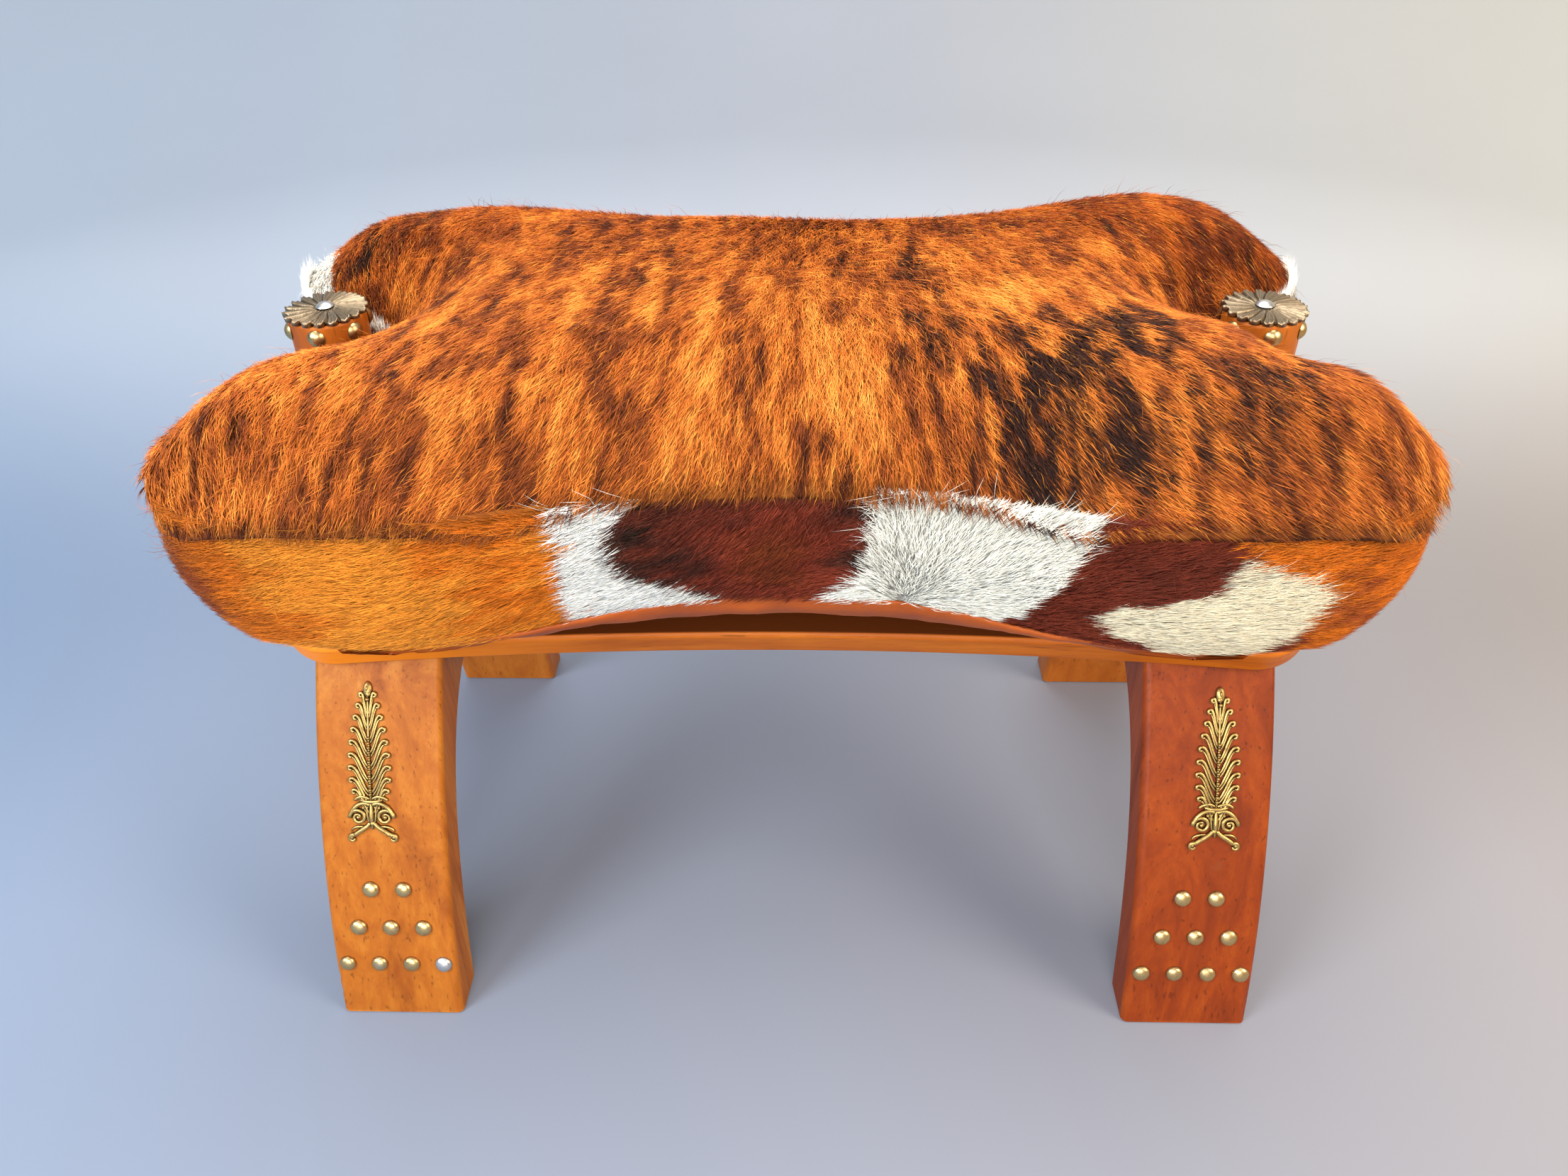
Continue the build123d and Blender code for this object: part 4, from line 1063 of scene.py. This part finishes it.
def make_top_hair(count, seed, name, material):
    """A share of the hair of the top hide."""
    draw = rng(seed)
    x, y = plan_points(draw, *HAIR_REACH, int(count * 1.45), count)
    count = len(x)
    roots = height_map(x, y)
    normals = surface_normals(height_map, x, y)
    leans = tangent(top_lean(x, y) + draw.normal(0, 0.12, (count, 3)), normals)
    lengths = draw.uniform(8, 14.5, count) * MM
    ahead = seam_distance(x + leans[:, 0] * lengths, y + leans[:, 1] * lengths)
    lengths = np.where(ahead < 0, np.maximum(lengths + ahead * 0.55, 6 * MM), lengths)
    leans, tuft = clump(roots, normals, leans, lengths, 4.2 * MM, 0.7, seed + 1)
    reach = (draw.uniform(0.25, 0.85, count) * lengths)[:, None]
    seen = roots + leans * reach
    color = top_hair_color(seen[:, 0], seen[:, 1])
    # Painted shade: hair within 3.5 mm of the upper seam is darkened down to half at the seam, for the shadow
    # under the overhanging top hair.
    edge = np.clip(seam_distance(seen[:, 0], seen[:, 1]) / (3.5 * MM), 0, 1)
    color = color * (0.50 + 0.50 * edge)[:, None]
    color = color * draw.uniform(0.72, 1.22, count)[:, None]
    color *= (0.80 + 0.40 * rng(seed + 2).random(tuft.max() + 1)[tuft])[:, None]
    pale = draw.random(count) < 0.06
    color[pale] = color[pale] * 0.5 + GOLD * 0.6
    lift = draw.uniform(0.08, 0.24, count)
    widths = draw.uniform(0.12, 0.20, count) * MM
    return hair_strands(name, roots, normals, leans, lengths, widths, color, lift, seed + 3, material)


def band_lean(x, y, share, normal):
    """Direction of the hair on the band: off the sewn join to the left, out of a swirl at the right."""
    round_it = np.c_[-normal[:, 1], normal[:, 0], np.zeros(len(x))]
    down = np.tile([0.0, 0.0, -1.0], (len(x), 1))
    mm_x = x / MM
    stops = (-103, -60, 0, 30, 60, 100, 150, 240)
    sideways = np.interp(mm_x, stops, (-1.0, -0.9, -0.65, -0.35, 0.05, 0.6, 0.9, 1.0))
    droop = np.interp(mm_x, stops, (0.1, 0.35, 0.8, 0.6, -0.3, -0.75, -0.45, -0.2))
    fan = np.exp(-np.maximum(JOIN - 1 - mm_x, 0) / 28)
    left = mm_x < JOIN - 0.5
    sideways = np.where(left, -1.0, sideways)
    droop = np.where(left, 0.16 + fan * (0.55 - share) * 1.6, droop)
    gap_x, gap_z = (mm_x - 58) / 40, (share - 0.05) * BAND_HEIGHT / (40 * MM)
    near = np.exp(-(gap_x**2) - gap_z**2)
    sideways = sideways * (1 - near) + gap_x * 1.6 * near
    droop = droop * (1 - near) - gap_z * 1.6 * near
    rear = y > 0
    sideways = np.where(rear, 0.85, sideways)
    droop = np.where(rear, 0.45, droop)
    ripple = 0.22 * soft_noise(x + y, share * 70 * MM, 26 * MM, 151, 2)
    return round_it * sideways[:, None] + down * (droop + ripple)[:, None]


def band_map(length, high):
    """Points of the band's skin at lengths along the seam and heights above the band's foot."""
    return band_point(length, high / BAND_HEIGHT)


def make_band_hair(start, end, count, seed, name, material):
    """Hair of a stretch of the band, between two lengths along the seam."""
    draw = rng(seed)
    length = draw.uniform(start, end, count)
    share = draw.uniform(0.0, 1.0, count)
    roots = band_point(length, share)
    normals = surface_normals(band_map, length, share * BAND_HEIGHT)
    normal = ring_normal(length)
    normals = np.where(np.sum(normals[:, :2] * normal, 1)[:, None] < 0, -normals, normals)
    lean = band_lean(roots[:, 0], roots[:, 1], share, normal)
    leans = tangent(lean + draw.normal(0, 0.12, (count, 3)), normals)
    lengths = draw.uniform(8, 14, count) * MM
    high = share + leans[:, 2] * lengths / BAND_HEIGHT
    over = np.maximum(np.maximum(high - 1.04, -0.02 - high), 0) * BAND_HEIGHT
    lengths = np.maximum(lengths - over, 4.5 * MM)
    leans, tuft = clump(roots, normals, leans, lengths, 4.0 * MM, 0.7, seed + 1)
    reach = draw.uniform(0.1, 0.9, count) * lengths
    seen = roots + leans * reach[:, None]
    joined = (seen[:, 0] > JOIN * MM) == (roots[:, 0] > JOIN * MM)
    seen[:, 0] = np.where(joined | (roots[:, 1] > 0), seen[:, 0], roots[:, 0])
    color = band_color(seen[:, 0], seen[:, 1], share + leans[:, 2] * reach / BAND_HEIGHT)
    pale = color.min(1) > 0.4
    spread = np.where(pale, 0.10, 0.26)
    color = color * (1 + spread * draw.uniform(-1, 1, count))[:, None]
    color *= (1 + spread * (rng(seed + 2).random(tuft.max() + 1)[tuft] - 0.5) * 1.4)[:, None]
    lift = draw.uniform(0.08, 0.22, count)
    widths = draw.uniform(0.12, 0.19, count) * MM
    return hair_strands(name, roots, normals, leans, lengths, widths, color, lift, seed + 3, material, 1.08)


def make_stray_hair(count, seed, material):
    """Single long hairs that stand off the fur, most of them along the upper seam and the lobes."""
    draw = rng(seed)
    half = count // 2
    length = draw.uniform(0, PERIMETER, half)
    share = np.clip(draw.normal(0.92, 0.18, half), 0.02, 1.0)
    side_roots = band_point(length, share)
    flat = ring_normal(length)
    side_normals = np.c_[flat, np.full(half, 0.25)]
    x, y = plan_points(draw, *STRAY_REACH, count * 3, half)
    roots = np.vstack([side_roots, height_map(x, y)])
    normals = unit(np.vstack([side_normals, surface_normals(height_map, x, y)]))
    lean = np.vstack([band_lean(side_roots[:, 0], side_roots[:, 1], share, flat), top_lean(x, y)])
    leans = tangent(lean + draw.normal(0, 0.5, lean.shape), normals)
    color = np.vstack([band_color(side_roots[:, 0], side_roots[:, 1], share), top_hair_color(x, y)])
    lengths = draw.uniform(11, 20, len(roots)) * MM
    lift = draw.uniform(0.20, 0.55, len(roots))
    widths = draw.uniform(0.05, 0.09, len(roots)) * MM
    color = color * 1.1
    return hair_strands("stray_hair", roots, normals, leans, lengths, widths, color, lift, seed + 3, material)


def make_white_tufts(count, seed, material):
    """Longer white hairs that stand up off the outer ends of the rear lobes, beside the pommels."""
    draw = rng(seed)
    left, right = int(count * 0.6), count - int(count * 0.6)
    length = np.r_[draw.uniform(*RING_LENGTHS[list(LEFT_TUFTS)], left),
                   draw.uniform(*RING_LENGTHS[list(RIGHT_TUFTS)], right)]
    share = 1 - 0.75 * draw.random(count) ** 1.6
    roots = band_point(length, share)
    flat = ring_normal(length)
    normals = unit(np.c_[flat, np.full(count, 0.3)])
    lean = np.c_[flat * 0.30, np.full(count, 0.9)] + draw.normal(0, 0.28, (count, 3))
    leans = tangent(lean, normals)
    lengths = draw.uniform(9, 17, count) * MM
    leans, _ = clump(roots, normals, leans, lengths, 5.0 * MM, 0.8, seed + 1)
    color = WHITE * draw.uniform(0.90, 1.02, count)[:, None]
    lift = draw.uniform(0.25, 0.55, count)
    widths = draw.uniform(0.08, 0.15, count) * MM
    return hair_strands("white_tufts", roots, normals, leans, lengths, widths, color, lift, seed + 3,
                        material, 1.0)


def saddle_rest(y):
    """Height of the cushion's underside where it rests: the boards' slope, then the slant beyond them."""
    edge_y, edge_z = BOARD_EDGE
    past = np.abs(y) - edge_y
    on_board = np.minimum(edge_z - past * math.tan(BOARD_SLOPE), UNDERSIDE_TOP)
    return np.where(past < 0, on_board, edge_z + past * math.tan(UNDERSIDE_SLOPE))


def make_base(material):
    """The smooth leather below the band: it curls under and rests on the boards."""
    count, rows, inner_rows = 640, 34, 14
    place_at = ring_place(np.linspace(0, PERIMETER, count, endpoint=False))
    x = RING[place_at.astype(int) % RING_COUNT, 0]
    start = lower_seam_drop(x) - BASE_OVERLAP
    layers = []
    for share in np.linspace(0, 1, rows):
        point = BASE.at(place_at, start + (BASE_FOOT - start) * share)
        point[:, 2] = np.maximum(point[:, 2], saddle_rest(point[:, 1]))
        layers.append(point)
    last = layers[-1]
    spine = spine_points(last, 0.7)
    for share in np.linspace(0.08, 1, inner_rows):
        flat = last[:, :2] * (1 - share) + spine * share
        layers.append(np.c_[flat, saddle_rest(flat[:, 1])])
    outer = np.vstack(layers)
    fold = soft_noise(outer[:, 0], outer[:, 2] * 1.6, 16 * MM, 301, 3)
    outer[:, 2] += np.where(outer[:, 2] > saddle_rest(outer[:, 1]) + 1 * MM, fold * 1.3 * MM, 0)
    verts = np.vstack([outer, outer + [0, 0, LEATHER_THICKNESS]])
    return mesh_object("base_leather", verts, shell_faces(rows + inner_rows, count, inward=True), material)


def band_stretch(x_limit):
    """Lengths along the seam of the left notch and of the sewn join on the front."""
    front = np.arange(RING_COUNT // 2, RING_COUNT)
    join = front[np.argmin(np.abs(RING[front, 0] - x_limit))]
    return PERIMETER / 2, RING_LENGTHS[join]


def make_cushion():
    """Skins, leather base and hair of the loose cushion."""
    skin = painted_material("hide_skin", 0.8, 900.0, 0.0005)
    hair = painted_material("hide_hair", 0.45, 700.0, 0.0001, 0.10)
    top = make_top_skin(skin)
    place(top, "cushion", "top_hide", "cushion_top_hide", "cushion_filling")
    notch, join = band_stretch(JOIN * MM)
    gap = 0.4 * MM
    tan_piece = make_band_skin(skin, "band_skin_left", notch + gap, join - gap)
    place(tan_piece, "cushion", "band_hide", "cushion_band_front_left")
    rest = make_band_skin(skin, "band_skin_main", join + gap, notch + PERIMETER - gap)
    place(rest, "cushion", "band_hide", "cushion_band_main")
    base = make_base(leather_material())
    place(base, "cushion", "base_leather", "cushion_base_leather")
    share = 1.0
    for k in range(9):
        item = make_top_hair(int(20000 * share), 1000 + 10 * k, f"top_hair_{k + 1}", hair)
        place(item, "cushion", "top_hide")
    for first, last, pieces, count, seed, name in (
        (notch + 1 * MM, join - 1 * MM, 2, 14000, 2100, "band_hair_left"),
        (join + 1 * MM, notch + PERIMETER - 1 * MM, 6, 20000, 2000, "band_hair"),
    ):
        ends = np.linspace(first, last, pieces + 1)
        for k in range(pieces):
            item = make_band_hair(ends[k], ends[k + 1], int(count * share), seed + 10 * k,
                                  f"{name}_{k + 1}", hair)
            place(item, "cushion", "band_hide")
    item = make_stray_hair(int(2600 * share), 3000, hair)
    place(item, "cushion", "top_hide")
    item = make_white_tufts(int(10000 * share), 3100, hair)
    place(item, "cushion", "band_hide")


# Brass


def make_cap(side, node, material):
    """Pressed sunburst cap: eighteen petals that overlap like a pinwheel, under a scalloped rim."""
    petals, per_petal, rows = 18, 20, 26
    columns = petals * per_petal
    (left, _, low), (right, _, high) = node_box(node)
    full, tall = (right - left) / 2, high - low
    turn = np.arange(columns) / columns
    share = np.linspace(0, 1, rows)[:, None]
    phase = (turn[None] * petals + 0.55 * share) % 1
    tip = 1 - np.abs(2 * ((turn * petals + 0.55) % 1) - 1) ** 1.7
    reach = full * (0.865 + 0.135 * tip)[None] * share
    spread = np.clip((share - 0.16) / 0.84, 0, 1)
    ridges = 0.5 - 0.5 * np.cos(TAU * phase * 3)
    lap = 1.9 * phase + 0.75 * ridges * (0.4 + 0.6 * share) - 1.1
    height = tall * (0.82 - 0.16 * share**2) + spread**0.6 * MM * lap
    height = height - 0.35 * MM * np.exp(-(((share - 0.30) / 0.05) ** 2))
    height = np.clip(height, 0.4 * MM, tall)
    angle = TAU * turn[None] + 0 * share
    top = np.stack([reach * np.cos(angle), reach * np.sin(angle), height], -1)
    rim = [top[-1].copy() for _ in range(3)]
    rim[0][:, 2] = height[-1] - 0.5 * MM
    rim[0][:, :2] *= 1.006
    rim[1][:, 2] = 0.15 * MM
    rim[2][:, 2] = 0.0
    rim[2][:, :2] *= 0.5
    foot = np.array([side * POMMEL_X, 0, low])
    verts = np.concatenate([top, np.stack(rim)]).reshape(-1, 3) + foot
    last = np.arange(columns) + (rows + 2) * columns
    faces = [grid_faces(rows + 3, columns, True), fan_faces(len(verts), last)]
    cap = mesh_object("cap_left" if side < 0 else "cap_right", np.vstack([verts, foot]), faces, material)
    turn_outward(cap)
    return cap


class RingSolids:
    """Closed solids for one mesh, each a stack of rings with a point at either end."""

    def __init__(self):
        self.verts, self.quads, self.fans, self.total = [], [], [], 0

    def add(self, layers, start, end):
        count, base = len(layers[0]), self.total
        tail = base + len(layers) * count
        first = np.arange(count) + base
        last = first + (len(layers) - 1) * count
        self.verts += [*layers, start[None], end[None]]
        self.quads.append(grid_faces(len(layers), count, True) + base)
        self.fans += [fan_faces(tail, first)[:, [0, 2, 1]], fan_faces(tail + 1, last)]
        self.total = tail + 2

    def mesh(self, name, material):
        faces = [np.vstack(self.quads), np.vstack(self.fans)]
        item = mesh_object(name, np.vstack(self.verts), faces, material)
        turn_outward(item)
        return item


def face_spot(x, z, front):
    """Point and outward direction on the arc of a leg's face."""
    high = (z - FACE_Z) / FACE_RADIUS
    level = math.sqrt(1 - high**2)
    return (x, -front * (FACE_Y + FACE_RADIUS * level), z), (0.0, -front * level, high)


def tack_place(side, row, k):
    """Middle of one tack of a leg: across, and up from the floor."""
    share, count = row
    return side * LEG_X + (k - (count - 1) / 2) * TACK_SPACING, share * PALMETTE_FOOT


def make_tacks(name, front, material):
    """Dome-headed tacks of the two front or the two rear legs, in rows of four, three and two."""
    draw = rng(4001 + front)
    turn = np.arange(20) / 20 * TAU
    bend = np.linspace(0.06, 1, 7) * math.pi / 2
    solids = RingSolids()
    for side in (-1, 1):
        for row in TACK_ROWS:
            for k in range(row[1]):
                spot, normal = (Vector(v) for v in face_spot(*tack_place(side, row, k), front))
                normal = (normal + Vector(draw.normal(0, 0.035, 3))).normalized()
                across = Vector((1, 0, 0)).cross(normal).normalized()
                along = normal.cross(across)
                radius = TACK_RADIUS + draw.normal(0, 0.08) * MM
                spot, normal, across, along = (np.array(v) for v in (spot, normal, across, along))
                ring = (np.cos(turn)[:, None] * across + np.sin(turn)[:, None] * along) * radius
                rises = [TACK_RISE * math.cos(b) ** 0.85 for b in bend]
                layers = [spot + ring * math.sin(b) + normal * rise for b, rise in zip(bend, rises)]
                layers.append(layers[-1] - normal * TACK_SINK)
                solids.add(layers, spot + normal * TACK_RISE, spot - normal * TACK_SINK)
    return solids.mesh(name, material)


class Relief:
    """Cast ornament on the face of a leg, drawn from its foot on the middle line."""

    def __init__(self, solids, x, front, low, high):
        self.solids, self.x, self.front, self.low = solids, x, front, low
        self.scale = (high - low) / PALMETTE_UNITS

    def surface(self, u, v):
        spot, normal = face_spot(self.x + u * MM, self.low + v * self.scale, self.front)
        return np.array(spot), np.array(normal)

    def wire(self, path, radii, lift=0.45, sides=10):
        """Rounded ridge along a path; radii at its ends and middle."""
        path = np.asarray(path, float)
        share = np.linspace(0, 1, len(path))
        reach = np.interp(share, np.linspace(0, 1, len(radii)), radii) * MM
        spots, normals = map(np.array, zip(*(self.surface(u, v) for u, v in path)))
        centre = spots + normals * (reach * lift)[:, None]
        step = unit(np.gradient(centre, axis=0))
        across = np.cross(normals, step)
        turn = np.arange(sides) / sides * TAU
        layers = [c + np.cos(turn)[:, None] * a * r + np.sin(turn)[:, None] * n * r * 1.15
                  for c, a, n, r in zip(centre, across, normals, reach)]
        self.solids.add(layers, centre[0] - step[0] * reach[0] * 0.7, centre[-1] + step[-1] * reach[-1] * 0.7)

    def knob(self, u, v, wide, tall, rise, sides=14):
        """Low dome, oval in plan."""
        spot, normal = self.surface(u, v)
        along = np.cross(normal, [1.0, 0, 0]) * -self.front
        turn = np.arange(sides) / sides * TAU
        plan = np.cos(turn)[:, None] * np.array([wide, 0, 0]) + np.sin(turn)[:, None] * along * tall
        bend = np.linspace(0.15, 1, 5) * math.pi / 2
        layers = [spot + plan * MM * math.sin(b) + normal * rise * MM * math.cos(b) for b in bend]
        layers.append(layers[-1] - normal * KNOB_SINK)
        self.solids.add(layers, spot + normal * rise * MM, spot - normal * KNOB_SINK)


def bezier(a, b, c, d):
    """Fourteen points of a curve from a to d that b and c pull at."""
    t = np.linspace(0, 1, 14)[:, None]
    a, b, c, d = (np.array(p, float) for p in (a, b, c, d))
    return a * (1 - t)**3 + 3 * b * t * (1 - t)**2 + 3 * c * t**2 * (1 - t) + d * t**3


def curl(start, radius, first, turn, count, shrink):
    """Spiral that starts at a point, in degrees round its centre, and tightens."""
    angle = np.radians(np.linspace(first, first + turn, count))
    reach = radius * np.linspace(1, shrink, count)
    centre = np.array(start) - radius * np.array([math.cos(angle[0]), math.sin(angle[0])])
    return centre + np.c_[np.cos(angle), np.sin(angle)] * reach[:, None]


FROND_TIPS = ((4.6, 87.0), (6.8, 81.0), (8.8, 74.5), (10.6, 67.6), (12.0, 60.4), (13.0, 53.0), (13.4, 45.6),
              (13.0, 38.4), (11.6, 31.6))


def make_palmette(relief):
    """Nine pairs of ribbed fronds that curl over, a bud, a row of beads and a scrolled foot."""
    scroll, hook = curl((13.0, 15.4), 5.1, 0, 560, 30, 0.18), curl((10.5, 4.2), 2.6, 120, -300, 16, 0.35)
    stems = (
        (scroll, (1.35, 1.15, 0.8)),
        (bezier((0.8, 23.0), (4.0, 25.5), (10.0, 24.0), (13.0, 15.4)), (1.2, 1.4, 1.35)),
        (bezier((0.8, 26.6), (3.6, 28.8), (7.0, 28.6), (9.6, 25.8)), (0.9, 1.15, 0.9)),
        (bezier((1.2, 12.0), (3.2, 8.5), (7.0, 7.5), (10.5, 4.2)), (1.3, 1.6, 1.5)),
        (hook, (1.5, 1.1, 0.8)),
        (bezier((3.0, 9.0), (6.5, 10.0), (11.0, 9.8), (12.6, 6.6)), (0.7, 1.0, 0.6)),
        (bezier((0.9, 9.5), (2.0, 14.0), (3.2, 18.0), (2.2, 22.0)), (0.7, 1.0, 0.8)),
    )
    for side in (-1, 1):
        flip = np.array([side, 1.0])
        for reach, high in FROND_TIPS:
            drop = 9 + reach * 0.45
            upper = bezier((0.5, high - drop), (0.36 * reach, high - drop * 0.80),
                           (0.48 * reach, high + 1.9), (0.84 * reach, high + 0.7))
            tip = curl(upper[-1], 1.5, 80, -215, 9, 0.30)
            relief.wire(np.vstack([upper, tip[1:]]) * flip, (0.75, 1.0, 1.05, 0.85))
            lower = bezier((0.7, high - drop - 2.2), (0.42 * reach, high - drop * 0.92),
                           (0.55 * reach, high - 0.6), (0.80 * reach, high - 1.8))
            relief.wire(lower * flip, (0.60, 0.85, 0.45))
        for path, radii in stems:
            relief.wire(path * flip, radii)
        for u, v, radius, rise in ((7.9, 15.3, 1.5, 1.9), (12.4, 3.0, 1.7, 2.1), (4.6, 21.2, 1.3, 1.8)):
            relief.knob(side * u, v, radius, radius, rise)
    relief.wire([(-6.5, 26.0), (-2.0, 25.0), (2.0, 25.0), (6.5, 26.0)], (1.0, 1.5, 1.0))
    relief.wire(np.c_[np.zeros(12), np.linspace(8, 24, 12)], (0.8, 1.7, 1.0))
    relief.wire(np.c_[np.zeros(24), np.linspace(26, 90, 24)], (0.9, 0.9, 0.8))
    for k in range(13):
        relief.knob(0, 29.5 + 2.75 * k, 1.25, 1.25, 2.5)
    relief.knob(0, 89.6, 2.9, 4.9, 2.3)
    relief.knob(0, 90.2, 1.2, 2.3, 3.0)
    relief.knob(0, 84.2, 1.5, 1.5, 2.6)


def make_palmettes(name, front, node, material):
    """Both palmettes of the two front or the two rear legs."""
    (_, _, low), (right, _, high) = node_box(node)
    solids = RingSolids()
    for side in (-1, 1):
        make_palmette(Relief(solids, side * (right - PALMETTE_HALF_WIDTH), front, low, high))
    return solids.mesh(name, material)


# Wood


# Legs, as their light, middle and dark tone, and marks as (point, radius, colour): stains, and one painted
# highlight on the left front leg
LEG_LOOKS = {
    "leg_front_left": (
        ((0.48, 0.180, 0.020), (0.38, 0.112, 0.008), (0.21, 0.048, 0.003)),
        (
            ((-0.203, -0.163, 0.010), 0.007, (0.03, 0.012, 0.006)),
            ((-0.209, -0.158, 0.033), 0.006, (0.10, 0.04, 0.015)),
            # Painted highlight: pale patch high on the face, for the sheen of the window light.
            ((-0.237, -0.130, 0.215), 0.055, (0.56, 0.30, 0.13)),
        ),
    ),
    "leg_front_right": (
        # Deeper tones than the left front leg: partly the wood's own colour, partly painted shade, as this
        # leg gets less of the cool light from the left.
        ((0.31, 0.056, 0.004), (0.225, 0.033, 0.0015), (0.12, 0.015, 0.001)),
        (
            ((0.268, -0.127, 0.128), 0.004, (0.03, 0.012, 0.006)),
            ((0.246, -0.137, 0.103), 0.010, (0.16, 0.055, 0.018)),
        ),
    ),
    "leg_rear_left": (((0.62, 0.20, 0.024), (0.50, 0.145, 0.012), (0.34, 0.080, 0.007)), ()),
    "leg_rear_right": (((0.56, 0.17, 0.018), (0.46, 0.12, 0.010), (0.30, 0.070, 0.006)), ()),
}
BOARD_TONES = ((0.58, 0.165, 0.008), (0.44, 0.106, 0.005), (0.24, 0.050, 0.003))
BOARD_MARKS = (
    ((0.255, -0.093, 0.212), 0.016, (0.10, 0.03, 0.01)),
    ((0.05, -0.083, 0.210), 0.010, (0.16, 0.05, 0.015)),
)
POST_TONES = ((0.50, 0.15, 0.016), (0.40, 0.10, 0.010), (0.26, 0.06, 0.006))
DOWEL_TONES = ((0.70, 0.52, 0.30), (0.62, 0.44, 0.24), (0.45, 0.30, 0.15))

# Grain that runs up a leg or post, along a board and across the stool
UPRIGHT, LENGTHWISE, CROSSWISE = (1, 1, 0.12), (0.10, 1, 1), (1, 0.1, 1)

# Tacks of the left front leg's lowest row that have lost brass: place in the row, radius and colour
WORN_TACKS = ((3, 0.009, (0.62, 0.61, 0.58)), (1, 0.005, (0.58, 0.55, 0.50)))


def dress_frame():
    """Materials of the CAD pieces that show as they are, and the brass that takes the place of some."""
    looks = {}
    for name, (tones, marks) in LEG_LOOKS.items():
        looks[name] = wood_material(name, tones, UPRIGHT, marks)
    for name in ("seat_board_front", "seat_board_rear"):
        looks[name] = wood_material(name, BOARD_TONES, LENGTHWISE, BOARD_MARKS, top_shade_and_stain=0.96, pale_left=0.6)
    for name in ("pommel_left", "pommel_right"):
        looks[name] = wood_material(name, POST_TONES, UPRIGHT, gloss=0.34)
    wear_and_edge_shade = []
    for k, radius, color in WORN_TACKS:
        spot, _ = face_spot(*tack_place(-1, TACK_ROWS[0], k), 1)
        wear_and_edge_shade.append((spot, radius, color))
    brass = metal_material("brass", (0.56, 0.41, 0.19), (0.11, 0.065, 0.025), 0.24, marks=wear_and_edge_shade)
    antique = metal_material("antique_brass", (0.50, 0.34, 0.12), (0.035, 0.019, 0.008), 0.30, 1.0)
    dark_brass = metal_material("dark_brass", (0.37, 0.28, 0.18), (0.030, 0.020, 0.012), 0.34, 1.0, 0.0006)
    nickel = metal_material("nickel", (0.72, 0.70, 0.66), (0.25, 0.22, 0.18), 0.25, 0.4)
    steel = metal_material("screw_steel", (0.50, 0.49, 0.46), (0.16, 0.14, 0.12), 0.35, 0.6)
    dowel = wood_material("dowel_wood", DOWEL_TONES, CROSSWISE)
    for name in ("leg_tacks_front", "leg_tacks_rear", "pommel_tacks_left", "pommel_tacks_right"):
        looks[name] = brass
    for name in ("palmettes_front", "palmettes_rear", "palmette_pins"):
        looks[name] = antique
    for side in ("left", "right"):
        looks[f"pommel_cap_{side}"] = dark_brass
        looks[f"pommel_cap_nail_{side}"] = nickel
        looks[f"leg_dowels_{side}"] = dowel
    for side in ("front", "rear"):
        looks[f"board_screws_{side}"] = steel
    for side, word in ((-1, "left"), (1, "right")):
        cap = make_cap(side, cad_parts[f"pommel_cap_{word}"], dark_brass)
        place(cap, "frame", "cap_brass", f"pommel_cap_{word}")
    for front, word in ((1, "front"), (-1, "rear")):
        ornament = make_palmettes(f"palmette_{word}", front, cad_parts[f"palmettes_{word}"], antique)
        place(ornament, "frame", "palmette_brass", f"palmettes_{word}")
        tacks = make_tacks(f"tacks_{word}", front, brass)
        place(tacks, "frame", "tack_brass", f"leg_tacks_{word}")
    for name, look in looks.items():
        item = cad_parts[name]
        for slot in item.material_slots:
            slot.material = look


make_camera()
make_stage()
make_lights()
dress_frame()
make_cushion()
